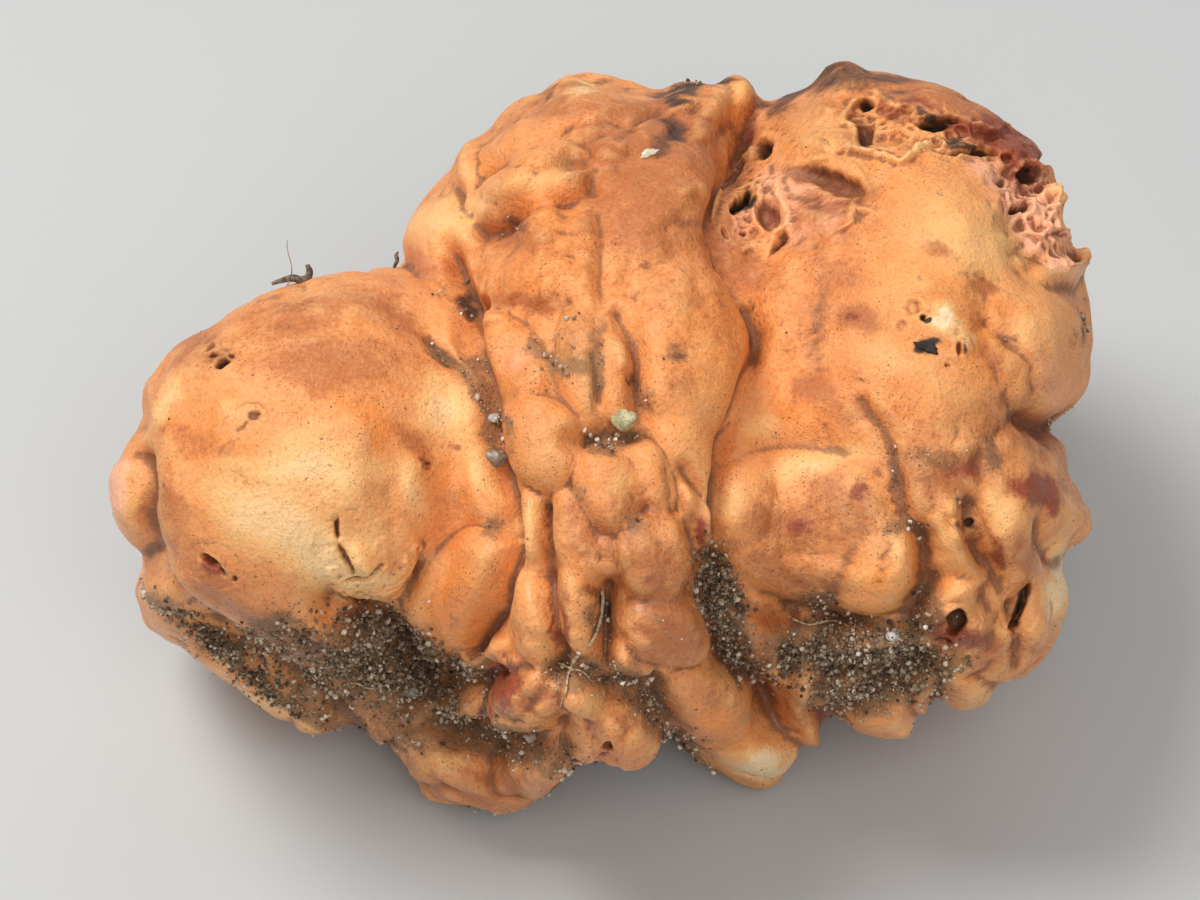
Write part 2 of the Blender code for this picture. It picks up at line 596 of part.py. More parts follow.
def centre(body):
    """Moves everything level so that the body's box stands centred over the origin."""
    places = read_array(finished_mesh(body).vertices, "co", 3, float)
    middle = (places.min(axis=0) + places.max(axis=0)) / 2.0
    for item in bpy.data.objects:
        item.data.transform(Matrix.Translation((-middle[0], -middle[1], 0.0)))


def main():
    clear_scene()
    body = fungus_body()
    tree = body_tree(body)
    for name, place in SOIL.items():
        soil_clod(name, place, tree)
    centre(body)


main()
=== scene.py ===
import math

import bpy
import numpy as np
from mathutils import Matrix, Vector
from mathutils.bvhtree import BVHTree


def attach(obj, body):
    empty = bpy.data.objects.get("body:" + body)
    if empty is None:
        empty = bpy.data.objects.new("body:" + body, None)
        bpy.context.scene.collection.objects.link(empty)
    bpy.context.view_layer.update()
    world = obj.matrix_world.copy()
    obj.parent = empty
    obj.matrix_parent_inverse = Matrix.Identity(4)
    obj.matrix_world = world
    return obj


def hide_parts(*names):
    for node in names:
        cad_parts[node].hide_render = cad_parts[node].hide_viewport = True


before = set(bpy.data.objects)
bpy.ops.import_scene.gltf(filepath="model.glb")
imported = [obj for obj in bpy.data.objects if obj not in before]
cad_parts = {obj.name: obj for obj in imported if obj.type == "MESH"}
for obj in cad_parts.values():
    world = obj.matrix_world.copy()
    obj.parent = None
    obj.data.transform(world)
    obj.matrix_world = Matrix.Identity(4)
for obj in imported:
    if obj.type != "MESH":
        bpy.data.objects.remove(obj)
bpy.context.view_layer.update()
mm = 0.001

# Lengths in the tables are millimetres and turns are degrees.
# across and up tell where the eye sees a place, counted from the body's heart point.


# smooth noise and small helpers

def cellNumber(cells):
    # a repeatable number 0..1 for each whole-numbered cell
    mixed = cells[..., 0] * 374761393 + cells[..., 1] * 668265263 + cells[..., 2] * 1274126177
    mixed = (mixed ^ (mixed >> 13)) * 1103515245 & 0x7FFFFFFF
    return ((mixed ^ (mixed >> 15)) & 0xFFFF) / 65535.0


def smoothNoise(points):
    # -1..1: the eight cell numbers round a point, blended by its place in the cell
    floor = np.floor(points).astype(np.int64)
    place = points - floor
    place = place * place * (3.0 - 2.0 * place)
    total = 0.0
    for corner in np.ndindex(2, 2, 2):
        weight = np.prod(np.where(corner, place, 1.0 - place), axis=-1)
        total = total + weight * cellNumber(floor + np.array(corner))
    return total * 2.0 - 1.0


def noises(points, shifts):
    # one smooth noise for each shift, side by side
    return np.stack([smoothNoise(points + shift) for shift in shifts], axis=-1)


def layeredNoise(points, scale, layers):
    # a sum of noises, each twice as fine and half as strong as the one before
    total, strength = 0.0, 1.0
    for layer in range(layers):
        total = total + strength * smoothNoise(points * scale * 2.0 ** layer + 17.3 * layer)
        strength *= 0.5
    return total


def billowNoise(points, scale, layers):
    # rounded lumps parted by sharp creases: a sum of roots of a noise's size, each twice as fine and 0.45 as
    # strong as the one before, at places that another noise moves a little
    total, strength = 0.0, 1.0
    for layer in range(layers):
        nudge = 0.35 * smoothNoise(points * scale * 1.7 * 2.0 ** layer - 5.1 * layer)
        lumps = np.abs(smoothNoise(points * scale * 2.0 ** layer + 9.7 * layer + nudge[:, None]))
        total = total + strength * (np.sqrt(lumps + 0.015) - 0.55)
        strength *= 0.45
    return total


def cellWalls(points, size, thin):
    # 1 on the walls between irregular cells, 0 inside them: with the distances to the two nearest centres,
    # exp(-((second - nearest) / thin)^2)
    spot = points / size
    home = np.floor(spot).astype(np.int64)
    nearest, second = np.full(len(points), 9.0), np.full(len(points), 9.0)
    for corner in np.ndindex(3, 3, 3):
        cell = home + np.array(corner) - 1
        shift = np.stack([2.0 * cellNumber(cell + k) - 1.0 for k in (31, 57, 83)], axis=-1)
        centre = cell + 0.5 + 0.42 * shift
        distance = np.linalg.norm(spot - centre, axis=-1)
        second = np.minimum(second, np.maximum(distance, nearest))
        nearest = np.minimum(nearest, distance)
    return np.exp(-(((second - nearest) / thin) ** 2))


def softMax(first, second, blend):
    # the greater of two, rounded over where they differ by less than blend
    meet = np.maximum(blend - np.abs(first - second), 0.0) / blend
    return np.maximum(first, second) + meet * meet * blend / 4.0


def smoothStep(low, high, value):
    # 0 below low, 1 above high, with an S curve between
    share = np.clip((value - low) / (high - low), 0.0, 1.0)
    return share * share * (3.0 - 2.0 * share)


def unit(vectors):
    return vectors / np.linalg.norm(vectors, axis=-1, keepdims=True)


# the eye that the body is seen by

eye = {
    "elevation": 47.0,
    "distance": 175.0,
    "heart": np.array([-0.68, -1.23, 15.2]),
    "lens": 105.0,
    "sensor": 36.0,
}
lookAngle = math.radians(eye["elevation"])
acrossAxis = np.array([1.0, 0.0, 0.0])
upAxis = np.array([0.0, math.sin(lookAngle), math.cos(lookAngle)])
towardAxis = np.array([0.0, -math.cos(lookAngle), math.sin(lookAngle)])


def seenPlaces(points):
    # across and up of each point: its two coordinates across the sight, grown as it comes nearer
    scale = 1.0 / (1.0 - points @ towardAxis / eye["distance"])
    return np.stack([points @ acrossAxis * scale, points @ upAxis * scale], axis=-1), scale


def turned(away, turn):
    angle = math.radians(turn)
    along = away[:, 0] * math.cos(angle) + away[:, 1] * math.sin(angle)
    beside = away[:, 1] * math.cos(angle) - away[:, 0] * math.sin(angle)
    return along, beside


def ovalDistance(seen, across, up, halfLength, halfWidth, turn):
    # 0 at the middle of an oval, 1 on its rim
    along, beside = turned(seen - np.array([across, up]), turn)
    return np.sqrt((along / halfLength) ** 2 + (beside / halfWidth) ** 2)


def lineDistance(seen, line):
    # distance to the nearest point of a line of straight runs
    nearest = np.full(len(seen), np.inf)
    for begin, end in zip(line[:-1], line[1:]):
        begin, run = np.array(begin), np.array(end) - np.array(begin)
        share = np.clip((seen - begin) @ run / (run @ run), 0.0, 1.0)
        nearest = np.minimum(nearest, np.linalg.norm(seen - begin - share[:, None] * run, axis=-1))
    return nearest


def inOval(seen, oval, power):
    # 1 well inside an oval, 0 well outside it: exp(-distance^power)
    return np.exp(-(ovalDistance(seen, *oval) ** power))


def alongLine(seen, width, height, line):
    # height on a line, falling away beside it: height exp(-(distance / width)^2)
    return height * np.exp(-((lineDistance(seen, line) / width) ** 2))


# the fruit body's form

bodyForm = {
    "cellsPerSide": 126,          # grid cells along each side of the six patches of the ball
    "towardEye": 0.34,            # how much closer the grid is on the side that the eye sees
    "evenSteps": 24,              # steps that even out the grid,
    "relaxSteps": 18,             # and steps that smooth the bulk
    "massBlend": 4.5,
    "lobeBlend": 0.3,
    "smallRise": 0.5,             # the share of their rise that the small lobes get
    "graze": 0.97,                # past this share of its half width a mass falls away in a straight slope
    "wander": 0.45,               # how far outlines wander
    "wanderScale": 0.35,          # and how finely
    "fineWander": 0.12,
    "fineWanderScale": 1.3,
    "swell": 0.22,
    "swellScale": 0.32,
    "wrinkle": 0.05,
    "wrinkleScale": 1.1,
    "liftToEye": 0.7,             # how much the forms rise towards the eye rather than straight outwards
    "leanSteps": 120,
    "facingSoft": 0.15,           # the near side turns into the far side over this much of the normal's lean
    "grazeFrom": 0.2,
    "grazeTo": 0.6,
    "hollowSteps": 40,            # smoothing steps that tell broad hollows,
    "creaseSteps": 5,             # and those that tell fine creases
    # centre x, y, z and half sizes x, y, z
    "masses": [
        (1.0, 1.0, -1.0, 16.0, 15.0, 13.0),
        (-13.9, -4.4, 3.4, 8.9, 9.6, 9.5),
        (-13.6, -1.4, -6.6, 9.4, 9.4, 8.8),
        (0.2, 0.3, 0.0, 8.3, 18.8, 15.5),
        (-2.4, 8.6, 2.4, 7.0, 8.4, 9.2),
        (8.2, 12.0, 2.6, 4.2, 5.0, 6.6),
        (14.9, 3.3, -0.1, 9.4, 18.1, 15.5),
        (-6.2, -8.2, -9.8, 4.6, 4.8, 4.8),
        (7.0, -7.4, -9.9, 3.7, 4.6, 4.6),
        (2.0, 10.5, -8.0, 10.0, 7.0, 7.4),
    ],
    "outlineCentre": (0.0, 1.0),
    # how far the outline lies from that centre, every five degrees, turning left from straight left
    "outline": [
        23.6, 24.7, 24.8, 24.2, 24.9, 24.6, 23.4, 22.7, 22.1, 21.6, 20.3, 19.3,
        19.6, 20.4, 20.2, 19.9, 19.5, 17.7, 17.0, 17.2, 16.8, 17.4, 19.0, 19.8,
        19.6, 19.2, 20.4, 21.9, 22.5, 23.7, 24.9, 25.2, 25.0, 24.5, 25.3, 24.0,
        23.3, 24.7, 25.2, 25.5, 25.9, 25.9, 26.2, 26.0, 25.4, 24.6, 23.7, 22.7,
        21.6, 19.1, 19.0, 18.1, 17.5, 17.7, 17.9, 17.9, 17.3, 17.2, 16.4, 15.9,
        15.3, 14.8, 14.5, 14.0, 13.2, 14.7, 16.4, 17.8, 19.3, 20.8, 22.4, 23.1,
    ],
    "outlineReach": 3.0,
    # across, up, half length, half width, turn, rise, and the power of the edge (0.5 steep, 2 a swelling)
    "lobes": [
        (-14.3, 0.2, 9.9, 8.8, 45, 1.0, 0.5),
        (-7.2, -7.3, 3.6, 2.4, 65, 1.8, 0.5),
        (-9.3, 6.3, 3.6, 2.1, -35, 0.8, 0.82),
        (-11.3, -5.0, 2.7, 2.1, 30, 0.9, 0.57),
        (-11.8, -5.3, 1.2, 0.7, 120, 0.9, 0.61),
        (-6.4, -1.8, 2.4, 1.3, 100, 0.7, 0.65),
        (-23.6, -1.6, 3.4, 1.3, 95, 0.3, 0.57),
        (-21.6, -7.4, 2.6, 2.1, -55, 0.8, 0.57),
        (-18.7, -10.7, 2.9, 1.4, -38, 1.0, 0.57),
        (-16.4, -12.6, 2.0, 0.8, -22, 0.9, 0.54),
        (-14.1, -13.8, 1.7, 0.9, -33, 1.0, 0.54),
        (-14.6, -9.9, 2.2, 1.5, -30, 0.5, 0.82),
        (-8.0, 11.1, 2.5, 1.9, 40, 0.9, 0.61),
        (-6.5, 14.5, 2.4, 0.9, 62, 0.6, 0.61),
        (-3.5, 13.3, 3.6, 1.3, 24, 1.3, 0.54),
        (-4.0, 15.4, 2.7, 1.5, 18, 0.8, 0.65),
        (-1.4, 17.4, 2.9, 1.3, 3, 0.8, 0.65),
        (2.0, 17.4, 1.8, 1.2, -12, 0.5, 0.82),
        (3.9, 17.6, 1.4, 0.9, 10, 0.7, 0.57),
        (6.4, 17.3, 2.3, 1.5, -18, 1.1, 0.61),
        (3.4, 12.2, 4.4, 3.0, 95, 0.8, 1.2),
        (4.7, 4.9, 4.6, 2.9, 103, 1.5, 0.57),
        (4.7, -0.2, 3.2, 1.7, 103, 1.0, 0.61),
        (4.6, -3.6, 2.4, 0.8, 112, 1.4, 0.54),
        (-3.0, 9.9, 2.7, 1.9, 72, 0.8, 0.65),
        (-1.0, 9.6, 3.1, 0.9, 96, 0.5, 0.74),
        (-5.4, 9.4, 2.0, 1.2, 50, 0.4, 0.82),
        (-4.3, 4.4, 2.4, 1.7, 112, 1.0, 0.57),
        (-2.9, 0.4, 2.8, 2.0, 118, 1.6, 0.52),
        (-1.0, 4.6, 3.0, 1.2, 96, 0.7, 0.65),
        (0.8, 3.2, 2.2, 0.8, 100, 0.4, 0.74),
        (1.6, 15.4, 2.0, 1.0, 30, 0.4, 0.82),
        (0.6, -2.0, 2.4, 1.5, 112, 0.9, 0.61),
        (2.6, -1.7, 2.6, 0.9, 100, 0.9, 0.57),
        (2.7, -5.5, 2.4, 2.0, 90, 1.5, 0.54),
        (3.5, -8.9, 2.5, 1.9, -25, 1.4, 0.54),
        (-1.3, -4.4, 2.6, 1.2, 96, 0.8, 0.61),
        (-1.4, -8.2, 2.4, 1.1, 102, 1.3, 0.54),
        (-3.6, -3.8, 1.9, 0.9, 98, 0.7, 0.61),
        (-3.4, -8.6, 2.6, 1.3, 112, 1.1, 0.57),
        (-6.8, -10.9, 1.1, 0.9, 20, 0.8, 0.54),
        (-6.5, -12.8, 1.9, 1.2, 28, 0.9, 0.54),
        (-3.6, -12.6, 2.2, 1.5, 10, 0.9, 0.57),
        (-0.6, -12.7, 1.3, 0.8, -35, 1.0, 0.54),
        (1.2, -14.5, 1.9, 1.6, -20, 1.3, 0.54),
        (-0.9, -14.7, 1.2, 1.0, 60, 0.8, 0.54),
        (6.3, -13.4, 3.1, 2.2, -38, 1.2, 0.54),
        (7.9, -15.4, 2.3, 1.2, 4, 1.2, 0.5),
        (-7.2, -16.1, 2.3, 0.9, -26, 0.9, 0.54),
        (-3.8, -16.4, 2.2, 1.4, 10, 0.9, 0.54),
        (-9.1, -15.4, 1.6, 1.2, -45, 0.9, 0.54),
        (-10.6, -13.4, 1.9, 1.1, -30, 0.8, 0.57),
        (-5.4, -17.2, 2.9, 0.8, -5, 0.8, 0.54),
        (0.9, -10.9, 1.3, 1.1, 60, 0.6, 0.57),
        (11.8, 18.2, 1.8, 1.2, 5, 1.1, 0.54),
        (10.3, 16.2, 2.7, 1.9, 25, 0.6, 0.82),
        (11.2, 11.7, 2.0, 1.0, 30, 0.4, 0.65),
        (14.4, 16.2, 1.4, 0.8, 10, 0.4, 0.57),
        (18.0, 17.3, 2.6, 0.7, -32, 0.5, 0.57),
        (19.0, 15.6, 1.4, 0.7, -10, 0.5, 0.57),
        (21.0, 15.0, 1.1, 0.7, -45, 0.5, 0.57),
        (16.0, 14.9, 1.6, 0.5, 8, 0.4, 0.57),
        (22.4, 12.3, 0.9, 0.8, 90, 0.5, 0.54),
        (22.0, 10.9, 1.0, 0.6, 0, 0.5, 0.54),
        (23.4, 9.3, 1.7, 0.8, 8, 0.8, 0.54),
        (22.2, 5.2, 4.2, 2.4, 100, 0.8, 0.65),
        (17.5, 12.0, 3.6, 2.0, -50, 0.5, 1.6),
        (16.4, 7.6, 3.2, 2.4, -20, 0.4, 2),
        (10.3, 2.3, 2.4, 1.6, 15, 0.4, 1.6),
        (9.2, 7.0, 3.2, 1.5, 80, 0.4, 1.4),
        (10.1, -3.6, 4.8, 3.7, -14, 1.6, 0.57),
        (13.8, -6.1, 2.7, 2.0, 62, 1.7, 0.54),
        (21.7, -1.3, 2.7, 2.3, 60, 0.8, 0.74),
        (23.4, -3.6, 2.0, 1.1, 100, 0.8, 0.54),
        (20.9, -4.6, 3.2, 1.3, 115, 0.9, 0.57),
        (22.2, -7.2, 3.5, 1.3, 100, 0.9, 0.57),
        (20.3, -10.2, 2.5, 1.5, 42, 0.9, 0.57),
        (17.6, -5.0, 2.5, 1.0, -55, 0.8, 0.57),
        (16.2, -2.4, 2.4, 1.2, -70, 0.5, 0.74),
        (17.4, -7.6, 2.2, 0.8, 30, 0.8, 0.54),
        (18.2, -9.6, 2.0, 1.3, 75, 0.8, 0.57),
        (18.9, -12.0, 1.7, 1.1, -35, 1.2, 0.54),
        (16.9, -12.4, 1.2, 0.8, 95, 0.9, 0.54),
        (14.6, -13.4, 2.2, 1.2, 20, 1.1, 0.54),
        (10.2, -11.8, 2.0, 1.3, 82, 0.9, 0.54),
        (8.4, -9.6, 2.7, 1.4, 112, 0.9, 0.57),
        (13.4, -9.7, 2.3, 1.0, 8, 0.7, 0.57),
        (9.9, -13.8, 1.2, 1.0, 30, 0.8, 0.54),
        (12.3, -12.2, 1.6, 1.0, 30, 0.6, 0.57),
    ],
    # width, depth, then points across, up
    "furrows": [
        (0.5, 1.2, [(8.5, 18.2), (7.6, 16.2), (7.2, 14.6), (5.9, 12.8), (5.4, 11.0), (5.9, 9.2),
                 (7.5, 7.2)]),
        (0.45, 1.3, [(7.5, 7.2), (7.8, 6.0), (7.2, 3.6), (6.6, 0.4), (5.7, -1.8), (5.4, -3.8),
                 (5.7, -5.6)]),
        (0.9, 1.8, [(5.7, -5.6), (6.1, -7.8), (6.6, -9.8), (7.6, -11.6), (8.9, -13.4)]),
        (0.6, 1.6, [(-7.4, 9.6), (-6.6, 7.6), (-6.3, 5.4), (-5.6, 3.2), (-5.4, 0.8), (-5.2, -1.4),
                 (-4.6, -4.4)]), (0.8, 0.3, [(-10.6, 6.9), (-9.6, 6.3), (-8.6, 5.7)]),
        (0.4, 0.7, [(-8.7, 5.2), (-7.3, 4.5), (-6.2, 3.3)]),
        (0.5, 1.3, [(-23.2, -0.5), (-23.0, -3.4), (-22.2, -6.2), (-21.0, -8.0)]),
        (0.7, 1.6, [(-21.0, -8.0), (-19.0, -9.5), (-17.0, -11.1), (-15.4, -12.5), (-13.4, -13.4)]),
        (1.0, 1.8, [(-13.2, -7.6), (-11.6, -8.6), (-10.2, -9.6), (-8.6, -11.2), (-6.2, -11.6)]),
        (0.5, 1.2, [(-4.5, -5.0), (-4.9, -7.6), (-5.8, -9.6)]),
        (0.45, 1.0, [(-2.6, -3.0), (-2.7, -6.6), (-2.1, -9.0), (-2.0, -11.0)]),
        (0.5, 1.5, [(0.2, -6.8), (0.3, -8.6), (0.4, -10.4)]),
        (0.6, 1.2, [(-1.0, 0.2), (0.4, 0.9), (2.0, 0.9)]),
        (0.5, 0.3, [(-0.3, 11.6), (-0.2, 10.0), (0.1, 8.0)]),
        (0.45, 0.7, [(0.9, 7.2), (1.4, 5.0), (2.3, 2.6), (2.4, 0.8)]),
        (0.4, 0.6, [(3.9, -1.0), (4.6, -2.4), (4.2, -4.4), (4.8, -5.6)]),
        (0.8, 1.3, [(7.2, -7.9), (9.6, -8.3), (12.2, -9.0), (15.4, -8.9), (16.4, -6.8), (16.0, -4.4)]),
        (0.9, 1.1, [(9.6, -10.6), (12.6, -10.8), (16.2, -10.8)]),
        (0.35, 0.45, [(13.1, 2.5), (14.0, 1.0), (14.7, -1.0), (15.3, -3.4)]),
        (0.5, 0.9, [(18.4, -2.6), (18.2, -4.6), (19.6, -6.0)]),
        (0.4, 0.9, [(21.6, -6.8), (20.9, -8.6), (20.9, -10.4)]),
        (0.6, 1.2, [(24.0, 1.4), (22.8, 0.9), (21.8, 1.6)]),
        (0.45, 0.7, [(10.2, 14.1), (11.6, 14.0), (12.7, 12.9)]),
        (0.7, 0.8, [(13.0, 17.0), (15.4, 16.4), (17.6, 16.3), (19.8, 15.2)]),
        (0.6, 0.9, [(20.4, 14.2), (21.4, 13.4), (20.9, 12.1), (21.6, 10.9)]),
        (0.45, 0.7, [(-6.9, 13.4), (-6.8, 12.2), (-6.0, 11.2)]),
        (0.5, 0.6, [(-5.2, 11.3), (-3.8, 11.9), (-1.8, 12.7), (-0.6, 13.3)]),
        (0.9, 1.3, [(-7.2, -14.1), (-4.6, -14.8), (-2.4, -14.4)]),
        (0.8, 1.3, [(0.6, -12.0), (2.6, -12.4), (3.6, -14.2)]),
    ],
    # small lobes that stand on the others, in the same order; half their rise is added
    "smallLobes": [
        (-6.9, -11.1, 1.1, 0.75, 60, 1.2, 0.5), (-8.6, -11.3, 1.0, 0.8, 0, 0.8, 0.5),
        (-5.2, -9.9, 0.9, 0.6, -20, 0.9, 0.5), (-4.6, -10.6, 0.7, 0.45, 0, 0.8, 0.5),
        (-6.9, -12.9, 1.3, 0.8, 20, 1.2, 0.5), (-8.9, -13.1, 1.1, 0.7, 10, 1.0, 0.5),
        (-4.3, -12.3, 1.3, 0.8, -10, 1.3, 0.5), (-4.4, -13.5, 1.0, 0.6, 0, 1.1, 0.5),
        (-2.4, -13.2, 1.0, 0.9, 30, 1.3, 0.5), (-3.0, -11.4, 0.8, 0.5, 60, 1.0, 0.5),
        (-0.7, -12.7, 1.1, 0.75, -30, 1.4, 0.5), (-5.9, -14.2, 0.8, 0.4, 0, 1.0, 0.5),
        (-3.2, -14.1, 0.9, 0.6, 20, 1.1, 0.5), (-9.4, -14.4, 1.2, 0.6, -15, 0.9, 0.5),
        (-7.1, -16.4, 2.0, 0.55, -25, 1.3, 0.5), (-8.5, -16.0, 1.2, 0.9, -50, 0.9, 0.5),
        (-4.6, -16.3, 0.9, 0.8, 80, 1.1, 0.5), (-3.4, -16.6, 0.9, 0.8, 0, 1.1, 0.5),
        (-2.4, -16.0, 1.0, 0.6, 80, 0.9, 0.5), (-5.8, -17.5, 2.8, 0.5, -5, 1.0, 0.5),
        (-11.5, -14.0, 1.5, 0.6, -10, 0.7, 0.5), (1.7, -15.0, 1.2, 1.15, 0, 1.5, 0.5),
        (0.3, -13.9, 0.8, 0.7, 0, 1.2, 0.5), (-0.9, -15.0, 1.1, 1.0, 30, 1.1, 0.5),
        (1.4, -10.6, 1.1, 0.8, -40, 0.9, 0.5), (2.1, -11.5, 0.9, 0.6, 0, 0.8, 0.5),
        (0.5, -5.3, 1.0, 0.9, 90, 0.8, 0.5), (1.8, -9.6, 0.6, 0.5, 0, 0.9, 0.5),
        (-13.8, -9.3, 1.4, 0.6, -20, 0.8, 0.5), (-16.2, -11.0, 1.3, 0.5, -30, 0.7, 0.5),
        (-12.0, -5.5, 1.1, 0.55, 118, 0.7, 0.5),
        (15.4, -5.1, 1.3, 0.5, 100, 1.3, 0.5), (11.3, -5.8, 2.5, 0.8, -10, 0.7, 0.6),
        (8.3, -8.2, 1.0, 0.9, 0, 0.9, 0.5), (9.0, -9.0, 0.8, 0.6, 20, 0.8, 0.5),
        (10.4, -9.5, 1.0, 0.6, 90, 1.0, 0.5), (14.3, -9.4, 1.7, 0.85, 10, 1.6, 0.5),
        (13.0, -9.6, 0.9, 0.6, 0, 1.2, 0.5), (8.6, -10.8, 1.1, 0.9, 70, 1.0, 0.5),
        (10.3, -11.4, 1.3, 0.9, 85, 1.3, 0.5), (13.0, -11.5, 1.1, 0.55, 0, 1.0, 0.5),
        (9.8, -13.1, 1.0, 0.7, 80, 1.1, 0.5), (10.5, -13.9, 0.9, 0.5, 90, 1.0, 0.5),
        (14.9, -13.5, 1.9, 0.95, 15, 1.3, 0.5), (15.9, -12.3, 1.1, 0.5, 60, 1.2, 0.5),
        (17.0, -12.4, 1.1, 0.55, 80, 1.4, 0.5), (19.0, -12.1, 1.1, 0.95, 0, 1.5, 0.5),
        (18.6, -10.4, 1.0, 0.7, 60, 1.0, 0.5), (17.3, -10.4, 0.5, 0.4, 0, 0.9, 0.5),
        (20.6, -10.6, 1.4, 0.8, 20, 1.0, 0.5), (21.6, -9.0, 1.0, 0.7, 90, 0.9, 0.5),
        (20.3, -8.9, 0.7, 0.5, 80, 0.9, 0.5), (19.0, -8.6, 0.9, 0.6, 0, 0.8, 0.5),
        (17.9, -5.1, 1.3, 0.55, -70, 1.0, 0.5), (17.1, -5.9, 0.6, 0.5, 0, 0.8, 0.5),
        (16.9, -3.6, 0.6, 0.5, 0, 0.7, 0.5), (18.1, -4.1, 1.8, 0.35, 110, 0.9, 0.5),
        (19.0, -5.6, 1.0, 0.3, 120, 0.8, 0.5), (20.9, -4.0, 1.7, 1.2, 90, 0.9, 0.6),
        (24.4, -4.0, 1.3, 0.5, 85, 1.0, 0.5), (23.1, -6.6, 2.2, 0.55, 82, 1.2, 0.5),
        (18.6, 0.2, 0.8, 0.6, 30, 0.6, 0.5), (16.6, -0.9, 0.9, 0.6, -20, 0.6, 0.5),
        (20.9, -2.9, 1.0, 0.8, 60, 0.7, 0.5), (17.6, -8.0, 1.9, 0.4, 25, 1.0, 0.5),
        (11.8, 18.9, 1.9, 0.8, 5, 0.8, 0.5), (14.4, 18.8, 1.6, 0.5, -8, 0.6, 0.5),
        (11.4, 11.8, 1.4, 0.9, 20, 0.6, 0.6), (22.7, 12.7, 0.7, 0.5, 110, 0.8, 0.5),
        (22.9, 11.1, 0.5, 0.45, 0, 0.8, 0.5), (21.8, 11.0, 0.45, 0.45, 0, 0.8, 0.5),
        (24.1, 9.5, 0.9, 0.5, 20, 1.2, 0.5), (22.5, 5.6, 2.5, 1.9, 95, 0.8, 0.6),
        (-8.3, 11.6, 2.4, 1.2, 35, 0.8, 0.6), (-6.6, 14.0, 1.8, 0.5, 75, 0.9, 0.5),
        (-4.2, 12.9, 1.5, 0.75, 10, 1.2, 0.5), (-2.2, 14.3, 1.5, 0.5, 50, 1.2, 0.5),
        (-3.8, 15.6, 2.4, 1.0, 25, 0.9, 0.6), (-0.9, 15.8, 1.1, 0.6, 30, 0.7, 0.5),
        (-2.8, 11.0, 1.5, 1.0, 80, 1.1, 0.5), (-4.0, 8.6, 1.9, 1.0, 30, 0.7, 0.5),
        (-2.0, 8.2, 1.3, 0.7, 60, 0.7, 0.5), (-5.3, 6.5, 1.0, 0.5, 0, 0.8, 0.5),
        (0.5, 15.0, 0.9, 0.7, 0, 0.6, 0.5), (2.6, 16.0, 0.8, 0.6, 30, 0.6, 0.5),
        (5.4, 16.4, 1.1, 0.7, 60, 0.7, 0.5), (7.2, 17.3, 1.3, 0.7, -30, 1.0, 0.5),
        (1.2, 4.4, 1.3, 0.45, 105, 0.7, 0.5), (-3.2, 3.0, 1.8, 0.9, 110, 0.5, 0.6),
    ],
    # thin folds that stand up: width, height, then points across, up
    "ridges": [
        (0.5, 0.3, [(-22.4, 3.2), (-22.0, 1.4), (-21.4, 0.2)]),
        (0.8, 0.3, [(-12.2, 0.8), (-12.4, -1.4), (-12.0, -2.8)]),
        (0.7, 0.3, [(-9.5, -1.0), (-9.9, -2.8), (-9.6, -4.2)]),
        (0.6, 0.35, [(-22.4, -8.7), (-20.0, -10.5), (-18.0, -12.1), (-16.0, -13.2), (-14.2, -13.9)]),
        (0.2, 0.4, [(5.65, 10.2), (5.9, 9.2), (6.4, 8.3), (7.1, 7.6)]),
        (0.2, 0.3, [(3.9, 12.6), (4.7, 12.9), (5.5, 12.5)]),
        (0.35, 0.45, [(-6.8, 15.2), (-6.6, 13.8), (-6.7, 12.6), (-6.3, 11.8)]),
        (0.35, 0.6, [(16.2, -8.3), (17.3, -7.2), (18.9, -6.7), (19.4, -6.5)]),
        (0.25, 0.4, [(17.8, -2.5), (17.9, -4.5), (18.3, -5.7), (19.0, -6.5)]),
        (0.15, 0.13, [(-16.5, 6.4), (-15.4, 6.8), (-14.0, 6.6)]),
        (0.15, 0.12, [(-15.0, 5.2), (-14.1, 5.2)]),
        (0.3, 0.5, [(-5.9, -10.4), (-6.0, -11.2), (-6.6, -11.9), (-7.6, -12.1)]),
        (0.5, 0.16, [(-22.2, -4.6), (-20.6, -7.2), (-18.6, -9.0), (-16.4, -9.6)]),
        (0.45, 0.14, [(-21.4, -4.0), (-19.8, -6.4), (-17.6, -8.0), (-15.2, -8.4)]),
        (0.15, 0.12, [(12.6, 12.0), (13.8, 11.9), (14.6, 11.9)]),
    ],
    # fine creases: width, depth, then points across, up
    "creases": [
        (0.22, 0.5, [(-9.0, -4.5), (-9.2, -5.6), (-9.8, -6.8), (-10.1, -8.0), (-9.8, -9.0)]),
        (0.2, 0.35, [(3.1, -1.0), (3.3, -3.0), (4.0, -4.3), (4.8, -4.9)]),
        (0.2, 0.3, [(0.9, 15.3), (2.0, 16.5), (3.0, 17.0)]),
        (0.2, 0.3, [(14.9, -4.2), (14.3, -5.2), (14.2, -6.2)]),
        (0.25, 0.5, [(-5.6, -12.0), (-5.6, -13.2)]),
        (0.25, 0.4, [(19.5, 6.5), (20.5, 5.5), (21.5, 4.2), (21.7, 3.0), (21.9, 2.0)]),
        (0.2, 0.4, [(-0.4, 4.6), (-0.1, 3.4), (-0.1, 2.6)]),
        (0.3, 0.6, [(1.3, 3.9), (1.8, 3.1), (2.4, 2.2)]),
        (0.2, 0.4, [(5.4, 11.0), (5.7, 9.6), (6.4, 8.2), (7.4, 7.2), (7.8, 6.2), (7.6, 5.0), (7.0, 3.2)]),
        (0.2, 0.3, [(20.2, -5.2), (20.0, -6.4), (20.3, -7.4)]),
        (0.25, 0.4, [(8.9, -12.2), (9.0, -13.4), (8.6, -14.4)]),
        (0.22, 0.35, [(-23.4, -1.0), (-23.3, -3.4), (-22.5, -5.4)]),
    ],
